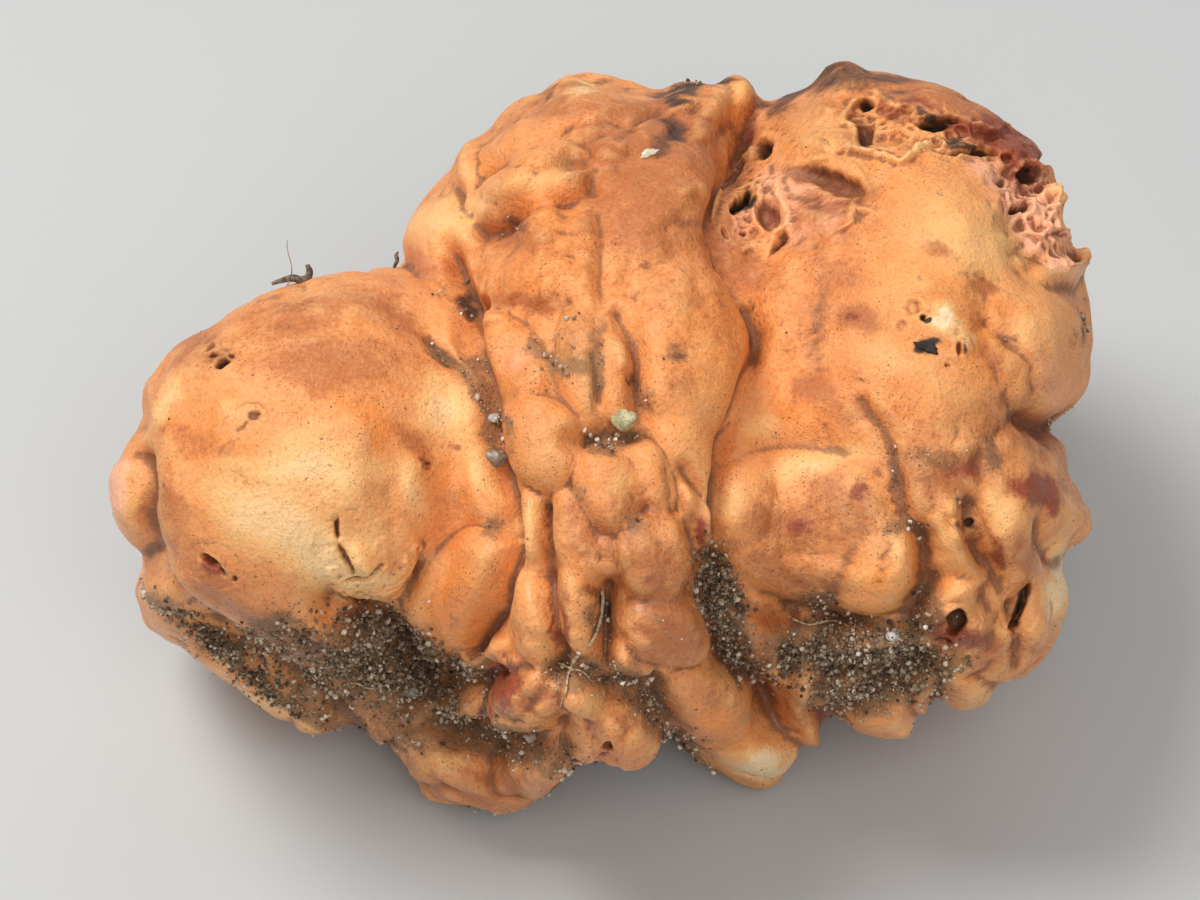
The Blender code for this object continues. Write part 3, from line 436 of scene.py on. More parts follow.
    # across, up, half length, half width, turn, depth
    "pits": [
        (-12.1, -8.5, 1.2, 0.7, -30, 1.2), (-10.6, -8.8, 0.8, 0.6, 80, 0.9),
        (-6.4, 7.4, 0.75, 0.5, -15, 1.4), (-1.2, 14.2, 0.8, 0.35, 35, 0.7),
        (17.8, -8.6, 0.65, 0.42, 60, 0.5), (1.6, 3.8, 0.6, 0.25, 120, 0.7),
        (0.25, -8.2, 1.4, 0.32, 95, 1.1), (-5.2, -11.3, 0.8, 0.5, 10, 1.0), (12.2, -8.6, 1.6, 0.3, -8, 1.0),
        (15.2, -10.7, 1.2, 0.35, 5, 0.8), (-6.0, -9.9, 0.8, 0.3, 48, 1.0), (-5.0, -15.0, 2.6, 0.4, -8, 1.0),
        (3.0, -12.9, 1.5, 0.45, 95, 1.2), (-2.0, -11.1, 0.5, 0.35, 0, 0.9),
        (0.0, -11.4, 1.3, 0.35, -10, 0.7), (-5.6, -12.7, 0.5, 0.16, 92, 0.9), (0.3, 0.6, 0.8, 0.4, 10, 0.9),
        (4.0, 16.0, 0.5, 0.6, 0, 0.4), (7.8, 6.9, 0.45, 0.16, -50, 0.6),
    ],
    # crumpled skin: across, up, half length, half width, turn, height of its lumps
    "crumples": [
        (-6.5, -13.5, 6.5, 3.6, -15, 0.65), (-3.0, -9.5, 4.0, 4.5, 90, 0.4), (1.5, -13.0, 4.0, 3.0, 0, 0.4),
        (-14.5, -11.0, 4.5, 2.4, -28, 0.6), (-20.5, -9.0, 4.0, 1.4, -40, 0.4), (1.0, -4.5, 3.4, 3.4, 0, 0.6),
        (2.5, -8.5, 3.2, 3.0, 90, 0.5), (13.5, -10.5, 6.5, 3.2, 0, 0.7), (9.5, -12.5, 3.0, 3.0, 0, 0.6),
        (18.0, -6.5, 4.4, 3.8, 60, 0.8), (19.5, -11.0, 3.6, 2.4, 20, 0.6), (16.5, -2.5, 3.2, 2.8, 0, 0.7),
        (20.5, 1.0, 3.4, 3.0, 90, 0.6), (10.0, -4.5, 3.5, 2.6, 0, 0.4), (6.5, -13.5, 2.6, 2.2, -40, 0.4),
        (-3.0, 5.2, 2.6, 2.0, 0, 0.45), (-3.5, 9.0, 4.2, 3.4, 60, 0.6), (-5.0, 14.0, 4.0, 3.2, 20, 0.6),
        (0.5, 14.5, 3.5, 3.5, 0, 0.5), (3.2, 9.5, 4.0, 3.4, 0, 0.4), (12.5, 16.4, 4.4, 1.6, 0, 0.5),
        (18.0, 15.8, 4.2, 1.4, -28, 0.6), (10.5, 12.5, 2.6, 2.6, 0, 0.5), (22.0, 11.0, 3.0, 1.8, 110, 0.8),
        (22.0, 4.5, 3.0, 2.0, 100, 0.45), (-8.5, 8.5, 3.0, 2.4, -20, 0.4), (13.0, 1.0, 3.4, 2.4, 0, 0.3),
        (-16.0, 4.5, 6.0, 3.0, 10, 0.16), (-12.5, -5.5, 3.0, 2.2, 0, 0.25), (15.5, 8.5, 6.0, 5.0, 0, 0.16),
    ],
    "crumpleScale": 0.36,
    "crumpleRest": 0.12,
    "crumpleGraze": 0.35,
    "crumpleHidden": 0.55,
    # the side turned from the eye
    "hiddenSeed": 11,
    "hiddenWander": 0.08,         # how far each is drawn off its even place
    "hiddenFrom": 0.1,            # none where the direction leans more than this to the eye
    "hiddenLobes": 90,
    "hiddenHalfWidth": (1.6, 3.4),
    "hiddenStretch": (1.1, 2.1),
    "hiddenRise": (0.6, 1.7),
    "hiddenEdge": 0.6,
}


def ballGrid(cells, towardEye):
    # directions: a cube's six faces as even-angled grids, pushed out to a ball, then drawn towards the eye;
    # points shared by two faces are made one
    angles = np.linspace(-math.pi / 4, math.pi / 4, cells + 1)
    side, rise = np.meshgrid(np.tan(angles), np.tan(angles), indexing="ij")
    ones = np.ones_like(side)
    sheets = [(ones, side, rise), (-ones, -side, rise), (-side, ones, rise),
              (side, -ones, rise), (-rise, side, ones), (rise, side, -ones)]
    points = np.concatenate([np.stack(sheet, axis=-1).reshape(-1, 3) for sheet in sheets])
    keys = np.rint(unit(points) * 1e6).astype(np.int64)
    first, back = np.unique(keys, axis=0, return_index=True, return_inverse=True)[1:]
    back = back.ravel()
    size = cells + 1
    corner = (np.arange(cells)[:, None] * size + np.arange(cells)[None, :]).ravel()
    quads = np.stack([corner, corner + size, corner + size + 1, corner + 1], axis=1)
    faces = np.concatenate([back[quads + k * size * size] for k in range(6)])
    return unit(unit(points[first]) + towardEye * towardAxis), faces


def gridEdges(faces):
    pairs = np.concatenate([faces[:, [k, (k + 1) % 4]] for k in range(4)])
    return np.unique(np.sort(pairs, axis=1), axis=0)


def relaxed(points, edges, steps):
    # each point drawn halfway to the mean of its neighbours, again and again
    count = np.bincount(edges.ravel(), minlength=len(points))[:, None]
    for _ in range(steps):
        total = np.stack([
            np.bincount(edges[:, 0], points[edges[:, 1], k], len(points))
            + np.bincount(edges[:, 1], points[edges[:, 0], k], len(points)) for k in range(points.shape[1])
        ], axis=1)
        points = 0.5 * (points + total / count)
    return points


def outwardNormals(points, faces):
    # the cross product of each face's diagonals, summed at its corners
    over = np.cross(points[faces[:, 2]] - points[faces[:, 0]], points[faces[:, 3]] - points[faces[:, 1]])
    normals = np.stack([
        sum(np.bincount(faces[:, corner], over[:, k], len(points)) for corner in range(4)) for k in range(3)
    ], axis=1)
    return unit(normals)


def exitDistance(directions, mass):
    # how far along each ray from the heart an ellipsoid ends; past its edge the distance falls away steeply
    centre, halfSizes = np.array(mass[:3]), np.array(mass[3:])
    start, step = -centre / halfSizes, directions / halfSizes
    length = np.linalg.norm(step, axis=-1)
    middle = -(step @ start) / length
    miss = np.sqrt(np.maximum(start @ start - middle * middle, 0.0))
    graze = bodyForm["graze"]
    edge = math.sqrt(1.0 - graze * graze)
    inside = np.sqrt(np.maximum(1.0 - miss * miss, 0.0))
    return (middle + np.where(miss < graze, inside, edge - graze / edge * (miss - graze))) / length


def bulk(directions):
    # where rays from the heart leave the outermost mass, blended where two masses meet
    radius = exitDistance(directions, bodyForm["masses"][0])
    for mass in bodyForm["masses"][1:]:
        radius = softMax(radius, exitDistance(directions, mass), bodyForm["massBlend"])
    return directions * radius[:, None]


def fittedToOutline(points):
    # points moved across the sight, most at the rim, by the ratio of the wanted outline to the one they make
    wanted = np.array(bodyForm["outline"])
    seen, scale = seenPlaces(points)
    away = seen - np.array(bodyForm["outlineCentre"])
    span = np.linalg.norm(away, axis=-1)
    places = (np.degrees(np.arctan2(away[:, 1], away[:, 0])) + 180.0) / 360.0 * len(wanted)
    above = points[:, 2] > -eye["heart"][2]
    rim = np.zeros(len(wanted))
    np.maximum.at(rim, np.rint(places[above]).astype(int) % len(wanted), span[above])
    bins = np.arange(len(wanted) + 1)
    ratio = np.interp(places, bins, np.append(wanted / rim, wanted[0] / rim[0]))
    nearness = np.minimum(span / np.interp(places, bins, np.append(rim, rim[0])), 1.0)
    shift = away * ((ratio - 1.0) * nearness ** bodyForm["outlineReach"] / scale)[:, None]
    return points + shift[:, :1] * acrossAxis + shift[:, 1:] * upAxis


def nearestHit(start, direction):
    # where a ray first meets the masses, and the outward normal there
    best = None
    for mass in bodyForm["masses"]:
        centre, halfSizes = np.array(mass[:3]), np.array(mass[3:])
        origin, step = (start - centre) / halfSizes, direction / halfSizes
        a, b, c = step @ step, origin @ step, origin @ origin - 1.0
        inside = b * b - a * c
        if inside < 0.0:
            continue
        distance = (-b - math.sqrt(inside)) / a
        if distance > 0.0 and (best is None or distance < best[0]):
            point = start + distance * direction
            best = (distance, point, unit((point - centre) / halfSizes ** 2))
    return best


def hiddenLobes():
    # lobes spread evenly over the side turned from the eye, each with its own size and turn
    draw = np.random.default_rng(bodyForm["hiddenSeed"])
    golden = math.pi * (3.0 - math.sqrt(5.0))
    found = []
    for i in range(bodyForm["hiddenLobes"]):
        height = 1.0 - 2.0 * (i + 0.5) / bodyForm["hiddenLobes"]
        ring = math.sqrt(1.0 - height * height)
        outward = np.array([ring * math.cos(golden * i), ring * math.sin(golden * i), height])
        outward = unit(outward + draw.normal(0.0, bodyForm["hiddenWander"], 3))
        halfWidth = draw.uniform(*bodyForm["hiddenHalfWidth"])
        halfLength = halfWidth * draw.uniform(*bodyForm["hiddenStretch"])
        rise = draw.uniform(*bodyForm["hiddenRise"])
        along = draw.normal(0.0, 1.0, 3)
        if outward @ towardAxis > bodyForm["hiddenFrom"]:
            continue
        point, normal = nearestHit(outward * eye["distance"], -outward)[1:]
        along = unit(along - normal * (along @ normal))
        found.append((point, along, np.cross(normal, along), halfLength, halfWidth, rise))
    return found


def dome(distance, edge):
    # 1 at the middle, 0 from the rim on: (1 - distance squared) to a power
    return np.maximum(1.0 - distance ** 2, 0.0) ** edge


def risen(points, seen, facing):
    # how far lobes and thin folds lift each point: the highest of them, blended where two meet
    lift = np.zeros(len(points))
    for *oval, rise, edge in bodyForm["lobes"]:
        height = rise * dome(ovalDistance(seen, *oval), edge) * facing
        lift = np.where(height > 0.0, softMax(lift, height, bodyForm["lobeBlend"]), lift)
    for point, first, second, halfLength, halfWidth, rise in hiddenLobes():
        away = points - point
        near = np.linalg.norm(away, axis=-1) < 2.0 * halfLength
        distance = np.sqrt((away @ first / halfLength) ** 2 + (away @ second / halfWidth) ** 2)
        height = rise * dome(distance, bodyForm["hiddenEdge"]) * near * (1.0 - facing)
        lift = np.where(height > 0.0, softMax(lift, height, bodyForm["lobeBlend"]), lift)
    return lift


def smallForms(seen, facing):
    # small lobes and thin folds that stand on the others: the highest of each
    lobe, fold = np.zeros(len(seen)), np.zeros(len(seen))
    for *oval, rise, edge in bodyForm["smallLobes"]:
        height = bodyForm["smallRise"] * rise * dome(ovalDistance(seen, *oval), edge)
        lobe = np.maximum(lobe, height)
    for ridge in bodyForm["ridges"]:
        fold = np.maximum(fold, alongLine(seen, *ridge))
    return (lobe + fold) * facing


def pressedIn(seen, seenFine, facing):
    # how far furrows, creases and pits press the near side in: the deepest of them
    pressed = np.zeros(len(seen))
    for furrow in bodyForm["furrows"]:
        pressed = np.maximum(pressed, alongLine(seen, *furrow))
    for crease in bodyForm["creases"]:
        pressed = np.maximum(pressed, alongLine(seenFine, *crease))
    for *oval, depth in bodyForm["pits"]:
        pressed = np.maximum(pressed, depth * inOval(seenFine, oval, 4))
    return pressed * facing


def crumpled(points, seen, facing, graze):
    # lumps and creases, as high as the table says where the eye sees, of one height where the sight grazes,
    # and of another on the far side
    height = np.full(len(points), bodyForm["crumpleRest"])
    for *oval, most in bodyForm["crumples"]:
        height = np.maximum(height, most * inOval(seen, oval, 4))
    height = np.maximum(height, bodyForm["crumpleGraze"] * graze)
    height = height * facing + bodyForm["crumpleHidden"] * (1.0 - facing)
    return height * billowNoise(points, bodyForm["crumpleScale"], 3)


def bodySurface():
    # bulk, drawn to the outline, then lifted by lobes and pressed in by furrows along its own outward lean
    directions, faces = ballGrid(bodyForm["cellsPerSide"], bodyForm["towardEye"])
    edges = gridEdges(faces)
    for _ in range(bodyForm["evenSteps"]):
        directions = unit(relaxed(bulk(directions), edges, 1))
    points = relaxed(fittedToOutline(bulk(directions)), edges, bodyForm["relaxSteps"])
    normals = outwardNormals(points, faces)
    soft = bodyForm["facingSoft"]
    facing = np.clip((normals @ towardAxis + soft) / (2.0 * soft), 0.0, 1.0)
    graze = 1.0 - smoothStep(bodyForm["grazeFrom"], bodyForm["grazeTo"], normals @ towardAxis)
    flat = seenPlaces(points)[0]
    seen = flat + bodyForm["wander"] * noises(points * bodyForm["wanderScale"], (7.3, 31.7))
    seenFine = flat + bodyForm["fineWander"] * noises(points * bodyForm["fineWanderScale"], (3.1, 51.9))
    lift = risen(points, seen, facing) + smallForms(seenFine, facing) - pressedIn(seen, seenFine, facing)
    lift = lift + bodyForm["swell"] * smoothNoise(points * bodyForm["swellScale"])
    lift = lift + crumpled(points, seen, facing, graze)
    lift = lift + bodyForm["wrinkle"] * layeredNoise(points, bodyForm["wrinkleScale"], 2)
    smooth = relaxed(normals, edges, bodyForm["leanSteps"])
    outward = unit(smooth + bodyForm["liftToEye"] * facing[:, None] * towardAxis)
    points = fittedToOutline(relaxed(points + outward * lift[:, None], edges, 1))
    points[:, 2] = np.maximum(points[:, 2], -eye["heart"][2])
    normals = outwardNormals(points, faces)
    # how far each point lies below or above its smoothed skin, used for painted shade and highlight in the
    # colour
    hollow, crease = (np.einsum("ij,ij->i", relaxed(points, edges, bodyForm[steps]) - points, normals)
                      for steps in ("hollowSteps", "creaseSteps"))
    return points, faces, normals, facing, hollow, crease


points, faces, normals, facing, hollow, crease = bodySurface()
print("body surface:", len(points), "points,", len(faces), "faces")


# finer sheets laid over torn and wrinkled places; the body is pressed in under them

fineSheets = {
    "torn_skin": {
        "split": 4,
        # across, up, half length, half width, turn of the places it covers
        "ovals": [(7.9, 12.7, 3.7, 2.5, 82), (11.4, 12.6, 2.6, 2.2, -15), (15.8, 16.0, 5.9, 2.3, -8),
                  (22.0, 12.2, 3.9, 2.5, -55)],
        # across, up, half length, half width, turn, depth, and the strength of painted shade in the hole
        "holes": [
            (7.1, 12.5, 0.62, 0.26, 54, 1.5, 1.3), (8.35, 11.8, 0.7, 0.46, 108, 0.9, 0.35),
            (8.14, 15.1, 0.36, 0.42, 0, 1.2, 1.1), (8.9, 10.0, 0.85, 0.22, 66, 0.8, 0.8),
            (7.1, 10.8, 0.16, 0.14, 0, 0.4, 0.5), (6.25, 10.8, 0.34, 0.12, 100, 0.45, 0.5),
            (6.6, 13.6, 0.9, 0.16, 52, 0.35, 0.3), (11.7, 13.45, 1.25, 0.42, -24, 0.75, 0.45),
            (10.9, 13.0, 1.5, 0.9, -20, 0.35, 0.0), (13.25, 15.7, 0.36, 0.42, 10, 0.85, 0.8),
            (13.35, 17.25, 0.26, 0.24, 0, 1.0, 1.2), (16.6, 16.35, 0.74, 0.28, -3, 1.4, 1.3),
            (17.6, 16.6, 0.34, 0.2, 0, 0.9, 1.0), (18.3, 14.95, 1.3, 0.24, -4, 1.0, 0.9),
            (20.7, 16.0, 0.5, 0.18, -15, 0.8, 0.8), (15.0, 16.9, 0.6, 0.2, 20, 0.5, 0.4),
            (14.5, 15.6, 0.9, 0.3, 5, 0.45, 0.2), (19.3, 15.7, 0.5, 0.25, -30, 0.5, 0.4),
            (21.45, 13.75, 0.42, 0.38, 20, 1.7, 1.3), (20.95, 12.1, 0.42, 0.17, 26, 1.0, 0.9),
            (21.9, 11.1, 0.42, 0.24, -20, 0.7, 0.3), (23.0, 10.8, 0.32, 0.2, 0, 0.6, 0.2),
            (22.6, 12.65, 0.32, 0.28, 0, 0.5, 0.3), (22.3, 14.5, 0.3, 0.2, 0, 0.6, 0.5),
            (23.6, 11.9, 0.26, 0.2, 40, 0.6, 0.4), (23.9, 9.6, 0.6, 0.16, -40, 0.5, 0.4),
            (20.1, 13.4, 0.24, 0.2, 0, 0.5, 0.4), (20.4, 14.6, 0.3, 0.2, -40, 0.6, 0.5),
        ],
        # width, height, then points across, up of thin standing folds
        "lips": [
            (0.17, 0.45, [(7.7, 15.0), (7.2, 14.4), (6.7, 13.8), (6.0, 12.8), (5.62, 12.0), (5.46, 11.1),
                     (5.7, 10.2)]),
            (0.2, 0.4, [(8.1, 13.3), (8.8, 13.4), (9.05, 12.65), (9.45, 11.6), (9.3, 10.8)]),
            (0.16, 0.35, [(8.0, 13.1), (7.75, 12.3), (7.7, 11.5), (8.1, 11.0)]),
            (0.22, 0.35, [(6.3, 10.4), (7.1, 10.05), (8.0, 10.2), (8.9, 10.7), (9.5, 11.2)]),
            (0.13, 0.3, [(10.5, 14.15), (11.5, 14.15), (12.35, 13.65), (12.75, 12.9)]),
            (0.12, 0.22, [(9.5, 11.5), (10.5, 12.4), (11.5, 12.8), (12.6, 12.75)]),
            (0.14, 0.2, [(12.75, 12.6), (12.5, 11.4), (11.6, 10.7), (10.6, 10.2)]),
            (0.15, 0.5, [(10.75, 14.55), (11.5, 14.75), (12.6, 15.15), (13.1, 14.9), (14.15, 14.75),
                     (14.9, 14.35), (15.85, 14.9), (16.5, 15.3)]),
            (0.16, 0.5, [(12.7, 17.4), (12.3, 16.8), (12.1, 16.3), (12.7, 16.05), (12.9, 15.3),
                     (13.0, 14.9)]),
            (0.13, 0.4, [(16.5, 15.6), (16.8, 15.55), (17.2, 15.3), (17.4, 14.9), (18.4, 14.65),
                     (19.4, 14.7)]),
            (0.14, 0.35, [(18.9, 16.25), (19.6, 15.95), (20.6, 16.2)]),
            (0.14, 0.3, [(13.7, 17.9), (14.6, 17.3), (15.6, 17.2)]),
            (0.16, 0.45, [(20.8, 13.9), (21.1, 14.4), (21.7, 14.4), (22.1, 13.9), (21.9, 13.3),
                     (21.3, 13.15), (20.85, 13.5)]),
            (0.14, 0.4, [(22.1, 12.6), (22.4, 13.1), (22.9, 13.0), (23.1, 12.6), (22.8, 12.2),
                     (22.4, 12.2)]),
            (0.14, 0.45, [(20.6, 12.3), (21.1, 12.5), (21.6, 12.4), (21.7, 11.9), (21.3, 11.6)]),
            (0.16, 0.4, [(21.3, 11.3), (22.0, 10.7), (22.6, 11.1), (22.5, 11.7)]),
            (0.16, 0.4, [(23.4, 10.9), (23.9, 10.1), (24.6, 9.6)]),
            (0.13, 0.25, [(11.3, 17.05), (12.0, 17.0), (12.6, 16.9)]),
            (0.12, 0.2, [(12.9, 12.0), (13.8, 11.9), (14.4, 11.9)]),
        ],
        # across, up, half length, half width, turn, depth, size of irregular cells
        "cells": [
            (21.9, 12.3, 3.3, 1.5, -55, 0.45, 0.85), (7.6, 12.0, 2.2, 1.1, 80, 0.3, 0.9),
            (17.5, 16.2, 3.0, 0.7, -12, 0.35, 0.7), (13.6, 16.6, 1.4, 0.7, 0, 0.3, 0.7),
        ],
        "cellWallThin": 0.3, "wrinkle": 0.10, "wrinkleScale": 1.0, "under": 2.2,
    },
    "skin_pits": {
        "split": 4,
        "ovals": [(-11.6, -5.3, 3.0, 2.7, 0), (-19.1, 4.6, 1.5, 1.1, 20), (-19.3, -5.8, 1.5, 1.1, -30),
                  (-17.8, 1.4, 1.3, 0.8, 30), (16.9, 6.0, 2.8, 2.0, -20), (21.0, -7.8, 1.5, 1.0, 65),
                  (17.8, -8.8, 1.4, 1.2, 40), (0.4, -14.8, 0.8, 0.8, 0), (18.4, -3.6, 0.8, 0.8, 0)],
        "holes": [
            (-18.85, 4.35, 0.36, 0.16, 28, 0.6, 1.2), (-19.35, 4.75, 0.22, 0.12, 10, 0.4, 0.9),
            (-19.5, 5.2, 0.3, 0.1, 40, 0.25, 0.6), (-18.4, 4.75, 0.12, 0.1, 0, 0.25, 0.8),
            (-19.55, -5.55, 0.42, 0.2, -38, 0.7, 0.7), (-18.95, -6.1, 0.24, 0.1, -60, 0.4, 0.7),
            (-18.3, -6.45, 0.12, 0.1, 0, 0.3, 0.9), (-17.3, 1.75, 0.34, 0.16, 25, 0.15, 0.7),
            (-17.9, 1.2, 0.4, 0.09, 45, 0.1, 0.5), (-18.6, 0.45, 0.14, 0.09, 0, 0.2, 0.7),
            (16.1, 6.6, 0.12, 0.12, 0, 0.5, 1.1), (18.0, 5.05, 0.1, 0.25, 0, 0.4, 0.5),
            (15.6, 7.1, 0.4, 0.34, 0, 0.16, 0.0), (15.1, 6.2, 0.3, 0.22, 20, 0.12, 0.0),
            (17.4, 4.2, 0.12, 0.1, 0, 0.2, 0.5), (21.0, -7.8, 0.95, 0.14, 66, 1.1, 1.1),
            (20.7, -8.7, 0.3, 0.12, 80, 0.6, 0.7), (17.8, -8.6, 0.55, 0.36, 60, 0.9, 0.8),
            (17.2, -9.6, 0.3, 0.14, -20, 0.5, 0.6), (0.4, -14.8, 0.2, 0.17, 0, 0.5, 0.6),
            (18.4, -3.6, 0.2, 0.17, 0, 0.5, 1.0),
            (-13.15, -3.9, 0.5, 0.12, 88, 0.5, 0.9), (-12.75, -5.5, 0.75, 0.12, 118, 0.5, 0.5),
            (-11.9, -6.45, 0.7, 0.12, 8, 0.45, 0.4), (-11.2, -6.1, 0.5, 0.1, 48, 0.3, 0.3),
            (-12.0, -7.6, 0.9, 0.16, -20, 0.5, 0.9), (-9.0, -5.6, 1.0, 0.14, 68, 0.4, 0.5),
        ],
        "lips": [
            (0.42, 0.3, [(-13.4, -6.1), (-12.9, -6.9), (-12.1, -7.2), (-10.9, -7.1), (-9.8, -6.2),
                     (-9.2, -4.9)]),
            (0.3, 0.14, [(-12.2, -5.0), (-12.0, -5.8), (-11.7, -6.0)]),
            (0.5, 0.12, [(-11.2, -3.8), (-10.6, -5.0), (-10.8, -6.0)]),
            (0.3, 0.1, [(-13.5, -4.6), (-13.5, -5.4)]),
            (0.25, 0.16, [(17.7, 4.7), (17.75, 5.4), (18.2, 5.5), (18.3, 4.9)]),
            (0.3, 0.12, [(16.2, 7.3), (17.2, 7.2), (17.7, 6.5), (17.5, 5.8)]),
        ],
        "cells": [],
        "cellWallThin": 0.3, "wrinkle": 0.03, "wrinkleScale": 1.2, "under": 0.9,
    },
}
# how every sheet meets the skin
sheetFit = {
    "covered": 1.1,               # a face is taken up to this many times the oval's size
    # where in its ovals the sheet fades out, from and to, and the facing from which on it shows;
    # the same for the skin pressed in under it
    "fade": (0.86, 1.0, 0.02),
    "pressFade": (0.74, 0.88, 0.25),
    "facingSpan": 0.35,           # and over this much of the facing it comes in
    "smoothSteps": 6,
    "dip": 0.004,                 # how far the sheet lies over the skin, and its rim under it
    "bendSteps": 14,
    "bendShare": 2.0,             # how strongly its fine bends and its holes darken the material as painted shade, and raised bends lighten it as painted highlight
    "holeShare": 0.22,
    "lipFull": 0.35,              # a lip of this height is pale to this strength
    "lipPale": 0.8,
}


def sheetShare(name, seen, facing, inner, outer, turnedAway):
    # 1 inside the sheet's ovals, 0 outside them and round the rim that the eye doesn't see
    share = np.zeros(len(seen))
    for oval in fineSheets[name]["ovals"]:
        share = np.maximum(share, 1.0 - smoothStep(inner, outer, ovalDistance(seen, *oval)))
    return share * smoothStep(turnedAway, turnedAway + sheetFit["facingSpan"], facing)


def splitFaces(picked, split):
    # the picked faces, each cut into split by split smaller ones; corner values blend along both sides
    step = np.linspace(0.0, 1.0, split + 1)
    u, v = (side.ravel()[None, :, None] for side in np.meshgrid(step, step, indexing="ij"))
    values = np.concatenate([points, facing[:, None], hollow[:, None]], axis=1)[faces[picked]]
    fine = ((1 - u) * (1 - v) * values[:, None, 0] + u * (1 - v) * values[:, None, 1]
            + u * v * values[:, None, 2] + (1 - u) * v * values[:, None, 3]).reshape(-1, 5)
    size = split + 1
    corner = (np.arange(split)[:, None] * size + np.arange(split)[None, :]).ravel()
    quads = np.stack([corner, corner + size, corner + size + 1, corner + 1], axis=1)
    rows = (quads[None] + size * size * np.arange(picked.sum())[:, None, None]).reshape(-1, 4)
    first, back = np.unique(np.rint(fine[:, :3] * 1e4).astype(np.int64), axis=0, return_index=True,
                            return_inverse=True)[1:]
    return fine[first], back.ravel()[rows]


def sheetSurface(name):
    # the skin's own faces made finer and smooth, raised by lips, pressed in by holes and between cell walls;
    # the edge dips a little under the skin
    settings = fineSheets[name]
    seenFaces = seenPlaces(points[faces].mean(axis=1))[0]
    covered = [ovalDistance(seenFaces, *oval) < sheetFit["covered"] for oval in settings["ovals"]]
    picked = np.any(covered, axis=0) & (facing[faces].min(axis=1) > 0.0)
    fine, rows = splitFaces(picked, settings["split"])
    places, nearEye, low = fine[:, :3], fine[:, 3], fine[:, 4]
    edges, uses = np.unique(np.sort(np.concatenate([rows[:, [k, (k + 1) % 4]] for k in range(4)]), axis=1),
                            axis=0, return_counts=True)
    rim = np.unique(edges[uses == 1])
    for _ in range(sheetFit["smoothSteps"]):
        smooth = relaxed(places, edges, 1)
        smooth[rim] = places[rim]
        places = smooth
    flat = seenPlaces(places)[0]
    share = sheetShare(name, flat, nearEye, *sheetFit["fade"])
    nudge = 0.10 * noises(places * 1.3, (5.7, 44.1)) + 0.05 * noises(places * 4.5, (-5.7, -44.1))
    seen = flat + nudge
    pressed, shade, raised = np.zeros(len(places)), np.zeros(len(places)), np.zeros(len(places))
    # each hole pressed in by its depth, with painted shade laid in it
    for across, up, halfLength, halfWidth, turn, depth, holeShade in settings["holes"]:
        within = inOval(seen, (across, up, halfLength * 1.15, halfWidth * 1.15, turn), 6)
        pressed = np.maximum(pressed, depth * within)
        shade = np.maximum(shade, holeShade * within)
    for *oval, depth, size in settings["cells"]:
        walls = cellWalls(places, size, settings["cellWallThin"])
        pressed = np.maximum(pressed, depth * inOval(seen, oval, 4) * (1.0 - walls))
    for lip in settings["lips"]:
        raised = np.maximum(raised, alongLine(seen, *lip))
    raised = raised * (0.75 + 0.45 * smoothNoise(places * 2.6) + 0.25 * smoothNoise(places * 6.0))
    clear = np.clip(1.0 - shade, 0.0, 1.0)
    wrinkles = settings["wrinkle"] * billowNoise(places, settings["wrinkleScale"], 3) * clear
    lift = raised * clear - pressed + wrinkles
    lean = unit(outwardNormals(places, rows) + bodyForm["liftToEye"] * nearEye[:, None] * towardAxis)
    places = places + lean * (share * (lift + sheetFit["dip"]) - (1.0 - share) * sheetFit["dip"])[:, None]
    places = relaxed(places, edges, 1)
    fineNormals = outwardNormals(places, rows)
    bend = np.einsum("ij,ij->i", relaxed(places, edges, sheetFit["bendSteps"]) - places, fineNormals)
    # painted shade: pressed holes count as hollow for the skin's colour
    low = low + sheetFit["holeShare"] * pressed
    return places, rows, nearEye, low, bend * sheetFit["bendShare"], shade, raised, share


lean = unit(normals + bodyForm["liftToEye"] * facing[:, None] * towardAxis)
press = np.zeros(len(points))
for name, settings in fineSheets.items():
    share = sheetShare(name, seenPlaces(points)[0], facing, *sheetFit["pressFade"])
    press = np.maximum(press, settings["under"] * share)
bodyPoints = points - lean * press[:, None]
print("finer sheets:", len(fineSheets))
